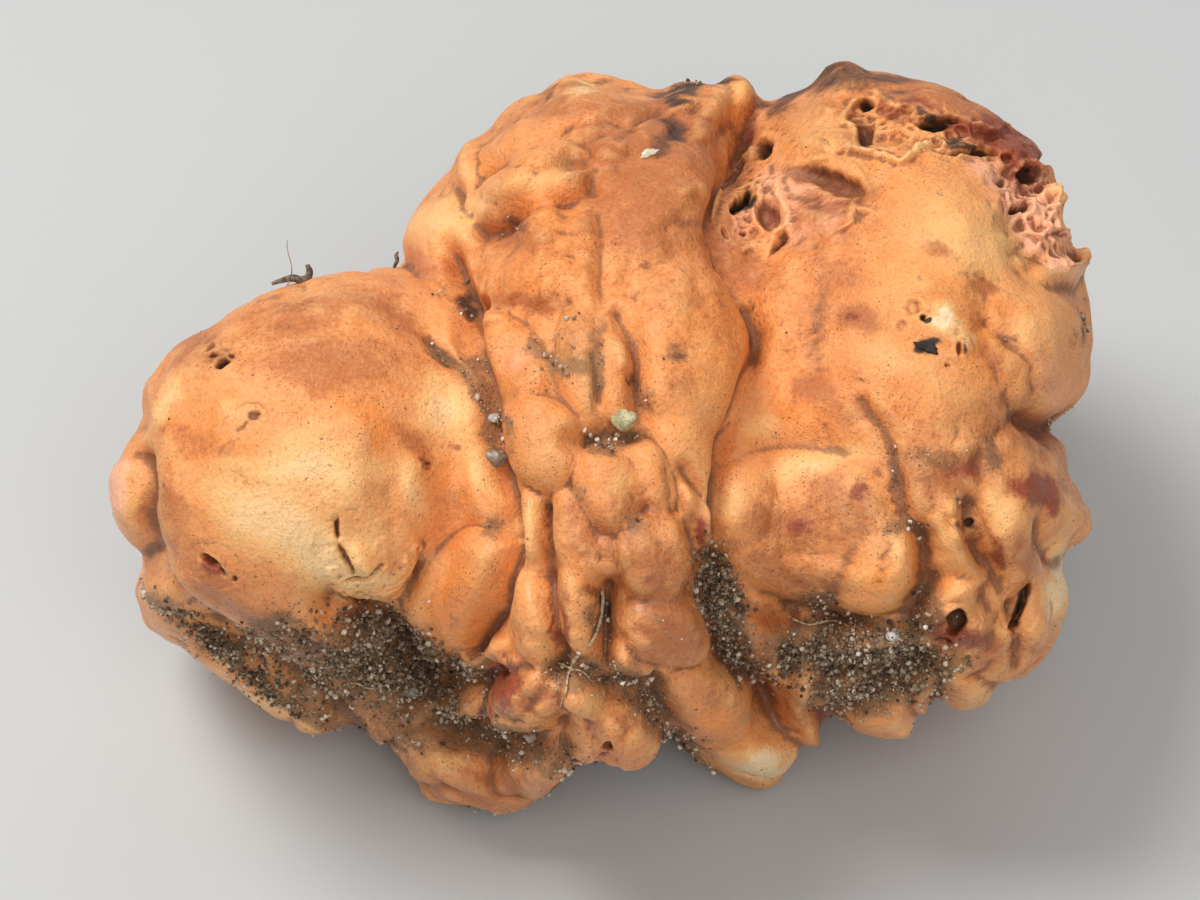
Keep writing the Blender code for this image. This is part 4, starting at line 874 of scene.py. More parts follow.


# stains and soil on the skin, and painted shade and highlight, as strengths 0..1 at each point

# across, up, half length, half width, turn, strength
skinStains = {
    "wander": 0.5,
    # the hollow, crease and ridge, in millimetres, at which their masks are full: painted shade in hollows
    # and creases, painted highlight on ridges
    "hollowFull": 0.5, "creaseFull": 0.07, "ridgeFull": 0.06,
    # pale cream patches; on the bulges partly painted highlight
    "pale": [
        (-21.8, 2.4, 2.0, 0.5, 72, 0.9), (-14.5, -1.0, 4.2, 1.6, -5, 0.95),
        (-17.3, -3.2, 2.6, 1.8, -35, 0.9), (-13.8, -5.6, 3.2, 1.5, -25, 1.0),
        (-15.0, -4.0, 3.0, 1.4, -20, 0.9), (-11.3, -4.2, 1.6, 1.2, 0, 0.6), (-7.9, 2.0, 2.0, 1.6, -30, 1.0),
        (-9.4, -2.3, 1.6, 0.6, 100, 0.9), (-5.9, -1.5, 1.7, 0.7, 115, 0.8),
        (-11.6, -6.6, 1.7, 0.6, 15, 1.0), (-14.5, 0.9, 2.0, 0.7, 10, 0.5), (-18.0, 1.8, 1.3, 0.8, 0, 0.5),
        (-8.0, 11.3, 2.4, 1.3, 10, 0.85), (-6.2, 12.0, 1.0, 0.8, 0, 0.6), (-6.4, 14.0, 1.4, 0.4, 95, 0.5),
        (-3.6, 13.2, 2.4, 0.8, 15, 0.55), (-1.6, 14.5, 1.4, 0.4, 55, 0.7), (-0.7, 18.1, 0.9, 0.3, 0, 1.0),
        (6.9, 17.8, 1.2, 0.5, 0, 0.5), (-3.0, -0.4, 1.9, 1.5, 120, 0.4), (-3.5, -4.0, 2.1, 0.8, 95, 0.7),
        (-1.0, 3.0, 2.6, 1.0, 100, 0.5), (5.3, 3.0, 2.0, 1.4, 80, 0.3), (4.7, 0.0, 1.8, 1.2, 90, 0.3),
        (6.4, -2.4, 1.3, 1.0, 0, 0.8), (11.0, -0.6, 2.8, 0.8, 15, 0.9), (14.8, -5.2, 1.2, 0.6, 100, 0.7),
        (15.0, 9.5, 3.8, 3.4, 0, 0.2), (17.3, 11.3, 2.8, 2.5, -30, 0.45), (19.4, 10.2, 2.6, 1.8, 0, 0.65),
        (14.0, 7.3, 2.6, 1.4, 10, 0.3), (17.0, 6.5, 0.95, 0.75, -20, 1.6), (18.1, 5.5, 0.7, 0.5, 0, 1.0),
        (14.5, 4.6, 2.4, 1.3, 0, 0.4), (21.3, 5.8, 1.8, 1.3, 0, 0.5), (8.3, 1.4, 1.8, 1.1, 0, 0.6),
        (20.2, -2.9, 1.6, 1.0, 90, 0.6), (22.9, -6.4, 2.4, 0.9, 82, 1.3), (19.1, -12.2, 1.1, 0.6, 10, 0.8),
        (15.2, -14.0, 1.4, 0.5, 10, 0.6), (8.0, -15.9, 2.1, 0.9, 0, 1.4), (8.2, -13.8, 1.4, 0.6, -50, 0.6),
        (-0.3, -12.6, 0.9, 0.6, -20, 0.7), (-7.3, -15.8, 1.7, 0.5, -25, 0.7),
        (-14.7, -13.7, 1.1, 0.4, -30, 0.7), (-16.8, -12.8, 1.6, 0.5, -20, 0.8),
        (1.2, -1.6, 1.4, 1.0, 90, 0.5), (17.2, -4.2, 1.4, 0.6, 90, 0.7), (17.5, 3.0, 3.0, 1.6, -20, 0.4),
        (-20.0, -11.0, 2.6, 0.5, -38, 0.5), (2.4, -14.9, 0.8, 0.6, 0, 0.4),
    ],
    "brown": [
        (-13.5, 4.3, 5.2, 1.6, 0, 0.7), (-15.0, 6.8, 4.2, 1.4, 15, 0.6), (-18.0, 0.2, 2.6, 0.8, -5, 0.4),
        (-20.7, 0.6, 1.5, 1.2, 0, 0.5), (-17.8, -1.3, 1.6, 0.6, -10, 0.4), (-21.8, -2.8, 1.7, 1.0, 95, 0.8),
        (-20.4, 5.3, 1.5, 1.2, 40, 0.6), (-19.5, -6.5, 3.4, 1.4, -40, 0.6),
        (-16.6, -8.6, 2.4, 1.0, -30, 0.7), (-9.3, 0.3, 1.7, 0.7, -50, 0.7),
        (-10.5, -4.0, 1.2, 0.5, 80, 0.4), (-10.0, 6.4, 2.2, 0.6, -30, 0.7), (-7.8, 9.0, 1.9, 0.9, -20, 0.5),
        (-7.6, -7.8, 1.9, 1.5, 60, 0.35), (-4.5, 10.9, 1.8, 1.0, -20, 0.8), (-3.6, 7.4, 2.1, 0.7, 0, 0.7),
        (-1.2, 13.9, 1.0, 0.6, 0, 0.7), (0.8, 15.2, 2.0, 1.2, 0, 0.7), (2.8, 16.5, 3.4, 1.2, 5, 0.7),
        (2.0, 12.5, 2.8, 2.6, 0, 0.5), (4.5, 10.9, 1.8, 0.9, -10, 0.6), (4.4, 15.7, 2.4, 1.5, 0, 0.6),
        (-5.3, 15.8, 1.4, 0.8, 45, 0.5), (-2.0, 17.3, 2.6, 0.8, 10, 0.6), (7.4, 16.4, 1.6, 0.5, 80, 0.8),
        (3.8, 3.0, 1.0, 0.9, 0, 0.5), (-1.6, -3.2, 1.3, 1.2, 0, 0.7), (0.2, -4.6, 1.6, 1.2, 0, 0.6),
        (2.3, -3.2, 1.3, 1.2, 0, 0.7), (4.9, -3.8, 1.5, 0.5, 105, 0.9), (2.7, -6.0, 2.3, 1.8, 0, 0.7),
        (3.6, -9.0, 2.3, 1.8, 0, 0.8), (-3.8, -9.5, 1.9, 1.3, 80, 0.4), (-2.4, -7.0, 2.6, 0.4, 98, 0.8),
        (-3.8, -12.5, 2.8, 1.2, 0, 0.8), (-5.2, -17.0, 2.6, 1.0, 0, 0.7), (0.6, -13.3, 1.6, 0.8, 0, 0.6),
        (1.0, -15.0, 1.8, 1.0, 0, 0.3), (6.2, -12.6, 2.2, 1.0, -30, 0.5), (8.8, -3.6, 2.4, 1.0, -10, 0.7),
        (12.3, -2.6, 2.3, 1.2, -40, 0.7), (9.5, -6.0, 3.2, 1.0, -10, 0.5), (8.8, -8.8, 1.9, 1.4, 0, 0.8),
        (12.2, 2.2, 2.3, 0.9, -10, 0.5), (10.6, 2.8, 0.9, 0.8, 0, 0.8), (13.0, 6.5, 0.75, 0.75, 0, 1.2),
        (1.8, 13.0, 4.6, 4.0, 0, 0.42), (4.6, 6.6, 3.0, 3.0, 0, 0.35), (14.5, 11.5, 4.0, 3.0, 0, 0.25),
        (11.6, 7.2, 3.6, 5.4, 0, 0.36), (16.6, 1.2, 4.6, 2.6, 0, 0.3), (10.6, -4.2, 3.6, 2.6, -10, 0.35),
        (-3.6, 9.6, 3.2, 3.4, 0, 0.3), (2.0, 12.0, 4.4, 5.0, 0, 0.2), (2.4, -8.6, 2.8, 2.8, 0, 0.4),
        (-5.4, -16.6, 3.6, 1.4, 0, 0.45), (19.2, 7.0, 3.0, 3.6, 0, 0.2), (11.5, 12.2, 2.0, 1.0, 20, 0.7),
        (13.0, 15.6, 1.9, 0.6, 0, 0.6), (11.3, 17.0, 2.6, 0.9, 10, 0.5), (17.0, 17.4, 4.6, 1.1, -25, 0.9),
        (20.0, 15.9, 2.4, 0.8, -40, 0.9), (19.2, 8.0, 0.7, 0.45, 20, 1.0), (17.0, 9.6, 0.8, 0.4, 0, 0.7),
        (18.6, 6.6, 0.8, 0.5, 90, 0.6), (19.5, 4.8, 1.9, 0.7, -25, 0.6), (21.3, 1.2, 2.7, 1.6, -20, 0.7),
        (18.3, -0.8, 2.7, 1.1, 10, 0.8), (21.0, -5.2, 2.0, 1.0, 100, 0.8), (18.5, -9.4, 1.7, 1.1, 0, 0.9),
        (20.5, -10.3, 2.1, 1.0, 20, 0.6), (16.3, -1.8, 1.4, 1.2, 0, 0.6), (10.2, -13.2, 1.7, 1.2, 0, 0.6),
        (23.6, -0.8, 1.7, 0.8, 90, 0.5), (7.4, 9.2, 1.7, 1.1, -40, 0.6), (6.5, 5.4, 1.6, 0.9, 90, 0.3),
        (11.8, 9.0, 1.6, 0.8, -30, 0.4), (14.6, -10.6, 2.6, 0.8, 0, 0.6), (-13.0, -9.8, 1.8, 0.8, -20, 0.9),
        (-20.6, -9.6, 2.0, 0.5, -40, 0.5), (-9.0, -16.8, 1.8, 0.8, -40, 0.6),
        (-12.0, -14.0, 2.0, 0.6, -10, 0.5), (6.0, 13.9, 1.0, 1.0, 0, 0.5),
    ],
    "red": [
        (22.0, -2.0, 1.3, 1.0, -20, 1.2), (22.1, 0.9, 1.1, 0.8, -30, 0.5), (12.9, -1.9, 0.5, 0.35, 0, 0.8),
        (9.8, -3.9, 1.0, 0.5, -10, 0.7), (18.1, -0.9, 1.5, 0.6, 0, 0.6), (19.7, -4.7, 1.5, 0.4, 110, 0.8),
        (18.3, -9.5, 1.2, 0.8, 0, 0.7), (-19.5, -5.6, 0.6, 0.4, -35, 1.2), (-8.8, -0.6, 0.5, 0.3, -40, 0.7),
        (-5.0, -11.3, 1.3, 0.9, 0, 1.0), (-0.6, -6.9, 1.1, 0.35, 0, 0.8), (-2.1, -8.6, 1.8, 0.3, 105, 0.8),
        (4.9, -4.3, 1.2, 0.3, 95, 0.9), (2.2, -6.6, 0.6, 0.4, 0, 0.5), (21.3, 13.8, 1.5, 1.2, -30, 0.6),
        (20.8, 15.3, 2.1, 0.7, -30, 0.8), (18.0, 16.2, 2.8, 0.8, -15, 0.7), (6.7, -10.8, 1.5, 0.5, -40, 0.9),
        (7.4, 16.2, 1.3, 0.35, 80, 0.7), (0.4, -14.8, 0.3, 0.22, 0, 1.0), (-14.0, -10.0, 1.1, 0.5, 0, 0.6),
        (17.2, -8.9, 0.9, 0.5, -30, 0.9), (13.0, 6.5, 0.42, 0.42, 0, 0.8), (15.0, 17.2, 1.6, 0.5, 0, 0.6),
        (8.0, 15.0, 0.5, 0.4, 0, 0.6), (8.4, 11.6, 0.6, 0.4, 110, 0.7), (-4.9, -12.6, 1.4, 0.6, 100, 0.6),
        (-18.6, 0.4, 0.25, 0.15, 0, 0.6), (-7.2, 0.2, 0.2, 0.15, 0, 0.7),
    ],
    # dark stains along the top edges and elsewhere; the ovals on pits, holes and under ledges are painted
    # shade
    "dark": [
        (-19.0, 4.6, 0.8, 0.5, 20, 0.55), (-19.6, 5.4, 1.0, 0.6, 20, 0.4), (-17.4, 1.7, 0.4, 0.25, 20, 0.5),
        (-18.2, 0.8, 0.9, 0.15, 40, 0.5), (-12.8, 4.6, 0.25, 0.2, 0, 0.8), (4.3, 17.9, 1.8, 0.45, 12, 1.1),
        (3.6, 16.0, 0.8, 0.75, 0, 0.9), (3.2, 15.2, 0.9, 0.25, 20, 0.6), (6.3, 18.6, 1.2, 0.4, 5, 0.9),
        (-2.5, 18.1, 0.9, 0.35, 20, 0.8), (-4.2, 17.6, 1.2, 0.35, 35, 0.6), (-0.5, 18.8, 2.4, 0.3, 0, 0.6),
        (11.3, 18.9, 1.8, 0.7, 5, 0.8), (9.5, 17.8, 1.7, 0.6, 30, 0.7), (14.3, 18.6, 1.9, 0.5, -8, 0.7),
        (16.4, 16.35, 0.8, 0.3, -5, 1.1), (17.5, 16.6, 0.5, 0.3, 0, 0.9), (18.3, 15.1, 1.3, 0.3, -8, 1.0),
        (13.4, 17.2, 0.3, 0.25, 0, 1.0), (16.35, 5.15, 0.7, 0.3, -20, 1.8), (16.1, 6.6, 0.17, 0.17, 0, 1.8),
        (2.4, 9.3, 0.6, 0.4, 0, 0.5), (4.2, 11.1, 0.7, 0.5, 0, 0.5), (-4.3, 11.2, 0.9, 0.5, -10, 0.7),
        (20.0, 11.3, 0.5, 0.4, 60, 0.4), (20.2, 5.6, 0.7, 0.2, -15, 0.8), (24.0, 6.0, 0.5, 0.4, 90, 0.7),
        (23.5, 1.4, 0.8, 0.35, 25, 1.0), (20.0, 0.4, 0.5, 0.25, 90, 0.7), (-15.2, 7.5, 2.2, 0.4, 5, 0.4),
        (-16.0, 6.2, 1.1, 0.25, 10, 0.4), (3.9, 4.7, 0.5, 0.25, 40, 0.6), (21.4, 13.7, 0.45, 0.4, 20, 1.2),
        (7.0, 12.5, 0.7, 0.3, 60, 1.2), (9.0, 10.1, 0.6, 0.25, 75, 0.7), (21.1, -7.8, 0.9, 0.25, 65, 1.1),
        (-12.0, -8.6, 1.3, 0.8, -20, 0.9), (-6.6, 7.3, 0.8, 0.6, 60, 1.0), (0.3, -7.8, 1.4, 0.4, 92, 1.0),
        (20.9, 12.0, 0.35, 0.15, 20, 1.0), (18.4, -3.6, 0.35, 0.3, 0, 0.8), (-22.3, -7.8, 0.9, 0.3, -40, 0.6),
        (1.8, 3.4, 0.6, 0.25, 120, 0.8), (-8.7, -0.7, 0.2, 0.18, 0, 1.1), (13.0, 3.8, 0.15, 0.12, 0, 1.0),
        (15.0, 3.4, 0.14, 0.14, 0, 1.0), (17.9, 5.05, 0.07, 0.25, 0, 1.0), (-5.6, -12.4, 0.7, 0.25, 90, 0.9),
        (7.2, -10.9, 0.8, 0.4, -50, 0.8), (12.0, -8.4, 1.6, 0.3, -10, 0.8), (5.9, -6.3, 1.0, 0.6, 100, 0.8),
        (8.8, 17.1, 1.6, 0.7, 35, 0.55), (12.8, 18.3, 2.6, 0.6, -5, 0.5),
        (18.6, 8.4, 1.0, 0.4, 0, 0.3), (-22.0, -2.4, 0.5, 0.3, 0, 0.3), (8.0, 7.0, 0.5, 0.2, -50, 0.7),
    ],
    "pink": [
        (10.7, 12.8, 1.7, 1.0, -15, 0.7), (11.6, 11.5, 1.4, 0.8, 20, 0.6), (21.5, 12.6, 2.5, 1.5, -50, 1.0),
        (22.6, 10.8, 1.5, 0.8, 0, 0.9), (23.7, 9.2, 1.3, 0.7, 0, 0.9), (8.5, 12.5, 1.8, 1.3, 90, 0.6),
        (9.8, 10.8, 1.2, 0.8, 90, 0.5), (-24.2, -2.0, 2.6, 0.8, 95, 0.9), (-4.3, 4.8, 1.5, 1.1, 0, 0.4),
        (7.0, 11.2, 1.6, 0.9, 80, 0.6), (19.0, 13.9, 1.4, 0.7, -30, 0.5), (22.6, 3.6, 2.6, 1.4, 100, 0.4),
        (-9.4, 9.4, 2.0, 0.8, -10, 0.4), (5.4, -3.0, 1.6, 0.4, 100, 0.4), (19.0, -12.4, 1.2, 0.7, 0, 0.4),
        (13.9, -9.8, 1.6, 0.6, 0, 0.5), (10.3, -11.9, 1.2, 0.9, 90, 0.4),
    ],
    "orange": [
        (1.0, 12.0, 5.4, 5.4, 0, 0.5), (4.8, 4.0, 3.4, 4.0, 0, 0.45), (15.6, 9.5, 6.0, 6.0, 0, 0.65),
        (8.6, 6.0, 2.4, 5.0, 0, 0.4), (-4.0, 9.0, 4.0, 7.0, 0, 0.4), (-15.0, 5.0, 6.5, 3.5, 0, 0.45),
        (-7.6, -7.6, 3.4, 2.4, 60, 0.5), (-18.0, 0.2, 2.8, 0.9, -5, 0.8), (-20.6, 0.8, 1.5, 1.1, 0, 0.8),
        (-15.8, -0.4, 1.6, 0.6, 0, 0.6), (-17.8, -1.4, 1.7, 0.6, -10, 0.6),
        (-11.6, 1.6, 2.6, 1.0, -30, 0.6), (-10.6, -1.6, 2.2, 0.6, 100, 0.7),
        (-2.7, 10.2, 2.4, 1.2, 75, 1.0), (6.8, 17.2, 1.8, 0.9, 0, 1.0), (1.6, 12.4, 2.0, 1.2, 0, 0.5),
        (10.6, 2.4, 2.4, 1.1, 10, 0.8), (18.7, 5.9, 1.0, 0.9, -40, 0.7), (19.6, 4.4, 2.2, 1.0, -25, 0.6),
        (13.8, -7.0, 2.0, 1.2, 60, 0.8), (6.3, -14.0, 2.4, 1.4, -30, 0.9), (1.0, -14.9, 1.6, 1.0, 0, 0.7),
        (14.4, -13.4, 2.0, 1.0, 10, 0.6), (-7.6, -8.6, 2.4, 1.7, 60, 0.6), (16.2, 2.4, 2.4, 1.2, -10, 0.5),
        (17.0, 17.9, 3.4, 0.7, -20, 0.7), (-1.2, -6.0, 2.4, 0.8, 95, 0.5), (22.0, -5.4, 1.6, 0.8, 90, 0.5),
        (14.2, 9.3, 0.5, 0.3, 0, 0.5), (16.9, 11.2, 0.5, 0.3, 0, 0.5), (5.9, 6.4, 1.6, 1.6, 0, 0.4),
    ],
    "dirt": [
        (-16.0, -9.3, 1.8, 1.1, -30, 1.0), (-13.8, -11.7, 1.8, 1.2, -25, 1.0),
        (-12.3, -8.9, 1.7, 1.0, 0, 0.8), (-10.5, -11.3, 3.0, 2.0, -15, 1.3),
        (-18.5, -10.2, 3.4, 0.5, -38, 1.2), (-22.4, -7.4, 1.1, 0.5, -45, 0.6),
        (-9.0, -9.8, 1.1, 0.6, -40, 0.6), (-6.3, -10.9, 1.6, 0.5, -20, 0.7),
        (-8.0, -13.2, 2.2, 0.8, -10, 0.9), (-5.3, -14.6, 3.6, 0.9, -5, 1.1),
        (-2.4, -15.6, 0.9, 0.8, 0, 0.8), (-1.4, -11.1, 1.3, 0.9, 0, 1.0), (0.9, -11.3, 1.7, 0.8, -20, 1.0),
        (2.4, -12.6, 1.3, 0.9, 90, 1.1), (3.9, -14.6, 1.3, 0.9, -30, 1.1), (-0.6, -8.6, 0.7, 0.5, 90, 0.8),
        (0.3, -8.2, 1.5, 0.4, 90, 0.9), (5.7, -6.5, 1.5, 0.8, 90, 1.3), (6.6, -8.8, 2.0, 0.8, 100, 0.9),
        (7.1, -11.0, 1.0, 0.8, 0, 0.6), (10.9, -7.4, 1.2, 0.7, 0, 1.0), (12.4, -8.7, 2.4, 0.6, -5, 1.2),
        (13.5, -10.2, 4.2, 1.2, 0, 1.1), (13.2, -12.2, 2.5, 1.0, 0, 1.2), (16.2, -8.0, 1.4, 0.7, 90, 1.0),
        (15.4, -3.9, 1.1, 0.4, -10, 0.9), (14.6, -1.0, 1.3, 0.4, 95, 0.9), (16.5, -0.4, 1.4, 0.6, 0, 0.6),
        (19.8, -0.2, 1.0, 0.5, 90, 1.0), (-5.9, 3.0, 2.0, 0.6, 115, 1.1), (-5.3, 1.0, 1.3, 0.6, 90, 1.1),
        (-5.3, -3.7, 1.0, 0.8, 0, 0.7), (-3.3, 5.3, 0.9, 0.4, 100, 0.8), (-2.0, 4.2, 1.8, 0.6, -30, 0.8),
        (-0.1, 3.9, 2.0, 0.35, 90, 1.0), (0.2, 0.6, 1.3, 0.6, 0, 1.1), (2.3, 2.6, 0.9, 0.3, 110, 0.7),
        (-7.5, 4.6, 1.3, 0.35, -35, 0.9), (7.8, 7.0, 0.8, 0.25, 110, 0.6), (3.8, 4.7, 0.6, 0.4, 40, 0.6),
        (-6.8, 7.0, 0.6, 0.5, 0, 0.6), (-1.3, -2.2, 1.1, 0.5, -30, 0.6), (1.9, -3.8, 0.6, 0.5, 0, 0.6),
        (-4.5, 11.2, 0.6, 0.4, 0, 0.6), (24.0, 6.0, 0.8, 0.4, 90, 0.7), (23.4, 1.3, 0.8, 0.4, 25, 1.0),
        (20.3, 5.6, 0.8, 0.2, -15, 0.6), (18.0, -2.3, 0.5, 0.3, 0, 0.6), (10.4, -9.6, 1.5, 1.0, 0, 0.8),
        (15.8, -11.6, 1.5, 0.7, 0, 1.0), (8.8, -10.2, 1.3, 0.8, 0, 0.7), (-13.0, -13.8, 2.0, 0.5, -10, 0.6),
        (-9.7, -14.6, 1.5, 0.6, -20, 0.6), (1.2, 0.9, 1.1, 0.5, 0, 0.7), (4.4, 18.1, 1.1, 0.3, 12, 0.5),
        (8.7, 0.6, 1.2, 0.5, 0, 0.25), (9.4, 5.6, 2.0, 2.0, 0, 0.2), (-1.2, 5.0, 2.2, 1.4, 100, 0.4),
        (3.0, -8.0, 2.0, 1.4, 0, 0.3), (17.6, -10.9, 0.9, 0.4, 0, 0.7), (-14.8, -12.9, 1.6, 0.5, -35, 1.0),
        (-7.9, 7.9, 0.6, 0.25, -30, 0.4), (6.8, -0.4, 0.5, 0.4, 0, 0.4),
    ],
    # how strong each is on the side turned from the eye, and how finely its patches lie
    "hidden": {"pale": (0.75, 0.11), "brown": (0.8, 0.14), "red": (0.45, 0.2), "dark": (0.35, 0.17),
               "pink": (0.4, 0.09), "orange": (0.7, 0.13), "dirt": (0.9, 0.16)},
}


def stainStrength(name, seen, points, facing, hollow):
    # near side: ovals that fade as exp(-distance to the power 2.4), joined as 1 - product of (1 - each);
    # far side: where a layered noise is high, and for soil also where the skin is hollow
    left = np.ones(len(seen))
    over = np.zeros(len(seen))
    for *oval, strength in skinStains[name]:
        shade = strength * inOval(seen, oval, 2.4)
        left = left * (1.0 - np.minimum(shade, 1.0))
        over = np.maximum(over, shade)
    near = np.maximum(1.0 - left, over)
    strength, scale = skinStains["hidden"][name]
    patches = layeredNoise(points + 40.0 * len(name) + 3.0 * len(skinStains[name]), scale, 4)
    far = strength * smoothStep(0.1, 0.75, patches)
    if name == "dirt":
        low = smoothStep(4.0, -10.0, points[:, 2])
        far = strength * smoothStep(0.25, 0.8, 0.5 * patches + 1.6 * np.maximum(hollow, 0.0) + 0.35 * low)
    return near * facing + far * (1.0 - facing)


def stainsAt(points, facing, hollow, crease):
    # every mask of the skin's material at the given points
    nudge = np.stack([layeredNoise(points + 90.0, 0.7, 3), layeredNoise(points - 60.0, 0.7, 3)], axis=-1)
    seen = seenPlaces(points)[0] + skinStains["wander"] * nudge
    names = ("pale", "brown", "red", "dark", "pink", "orange", "dirt")
    masks = {name: stainStrength(name, seen, points, facing, hollow) for name in names}
    # hollow and crease carry the painted shade of hollows and creases, ridge the painted highlight on ridges
    masks["hollow"] = np.clip(hollow / skinStains["hollowFull"], 0.0, 1.0)
    masks["crease"] = np.clip(crease / skinStains["creaseFull"], 0.0, 1.0)
    masks["ridge"] = np.clip(-crease / skinStains["ridgeFull"], 0.0, 1.0)
    masks["damp"] = smoothStep(2.0, -9.0, seen[:, 1] + 2.0 * layeredNoise(points, 0.25, 2)) * facing
    return masks


stains = stainsAt(points, facing, hollow, crease)
print("skin stains:", ", ".join(stains))


# meshes

def newPiece(name, places, faceRows, masks, material, smooth=True):
    # a mesh object from points in millimetres from the heart, with one number per point for each mask
    mesh = bpy.data.meshes.new(name)
    faceRows = np.asarray(faceRows)
    sides = faceRows.shape[1]
    mesh.vertices.add(len(places))
    mesh.vertices.foreach_set("co", ((places + eye["heart"]) * mm).astype(np.float32).ravel())
    mesh.loops.add(faceRows.size)
    mesh.loops.foreach_set("vertex_index", faceRows.astype(np.int32).ravel())
    mesh.polygons.add(len(faceRows))
    mesh.polygons.foreach_set("loop_start", np.arange(0, faceRows.size, sides, dtype=np.int32))
    mesh.polygons.foreach_set("use_smooth", np.full(len(faceRows), smooth))
    mesh.update(calc_edges=True)
    for maskName, values in masks.items():
        layer = mesh.attributes.new(maskName, "FLOAT", "POINT")
        layer.data.foreach_set("value", np.asarray(values, np.float32))
    mesh.materials.append(material)
    piece = bpy.data.objects.new(name, mesh)
    bpy.context.scene.collection.objects.link(piece)
    return piece


# materials

class Wire:
    # wraps a node's output so that + - * and ** write Math nodes
    def __init__(self, finish, socket):
        self.finish, self.socket = finish, socket

    def maths(self, operation, first, second):
        return self.finish.node("ShaderNodeMath", {"operation": operation}, {0: first, 1: second})

    def __add__(self, other):
        return self.maths("ADD", self, other)

    def __radd__(self, other):
        return self.maths("ADD", other, self)

    def __sub__(self, other):
        return self.maths("SUBTRACT", self, other)

    def __rsub__(self, other):
        return self.maths("SUBTRACT", other, self)

    def __mul__(self, other):
        return self.maths("MULTIPLY", self, other)

    def __rmul__(self, other):
        return self.maths("MULTIPLY", other, self)

    def __pow__(self, other):
        return self.maths("POWER", self, other)


class Finish:
    # one material: a Principled shader, and a method that adds any other node
    def __init__(self, name, fixed):
        self.material = bpy.data.materials.new(name)
        self.material.use_nodes = True
        self.nodes, self.links = self.material.node_tree.nodes, self.material.node_tree.links
        self.shader = self.nodes["Principled BSDF"]
        self.fill(self.shader, fixed)
        self.place = self.node("ShaderNodeTexCoord", {}, {}, "Object")

    def fill(self, node, values):
        for key, value in values.items():
            if isinstance(value, Wire):
                self.links.new(value.socket, node.inputs[key])
            else:
                node.inputs[key].default_value = value

    def node(self, kind, settings, values, output=0):
        made = self.nodes.new(kind)
        for key, value in settings.items():
            if key == "stops":
                ramp = made.color_ramp
                while len(ramp.elements) < len(value):
                    ramp.elements.new(0.5)
                for element, (position, colour) in zip(ramp.elements, value):
                    element.position, element.color = position, colour
            else:
                setattr(made, key, value)
        self.fill(made, values)
        return Wire(self, made.outputs[output])

    def mask(self, name):
        return self.node("ShaderNodeAttribute", {"attribute_name": name}, {}, "Fac")

    def noise(self, perMillimetre, detail=2.0, roughness=0.5):
        values = {"Vector": self.place, "Scale": perMillimetre / mm, "Detail": detail, "Roughness": roughness}
        return self.node("ShaderNodeTexNoise", {}, values, 0)

    def between(self, low, high, value):
        # 0 at low and beyond it, 1 at high and beyond it, with an S curve between
        values = {"Value": value, "From Min": low, "From Max": high}
        return self.node("ShaderNodeMapRange", {"interpolation_type": "SMOOTHSTEP"}, values)

    def blend(self, share, first, second):
        # colour first where share is 0, second where it is 1
        return self.node("ShaderNodeMix", {"data_type": "RGBA"}, {0: share, 6: first, 7: second}, 2)

    def bump(self, height, strength, distance):
        values = {"Height": height, "Strength": strength, "Distance": distance * mm}
        self.fill(self.shader, {"Normal": self.node("ShaderNodeBump", {}, values)})


skinFinish = {
    "peach": (0.80, 0.305, 0.100, 1), "cream": (0.98, 0.56, 0.215, 1), "tan": (0.44, 0.125, 0.036, 1),
    "wine": (0.26, 0.040, 0.017, 1), "soot": (0.045, 0.028, 0.020, 1), "rose": (0.98, 0.48, 0.32, 1),
    "amber": (0.87, 0.28, 0.057, 1), "mud": (0.19, 0.105, 0.055, 1), "speck": (0.040, 0.022, 0.013, 1),
    "ivory": (0.95, 0.74, 0.46, 1), "umber": (0.20, 0.065, 0.027, 1),
    "fixed": {"Subsurface Weight": 0.08, "Subsurface Scale": 0.001, "IOR": 1.4, "Coat Roughness": 0.2},
}


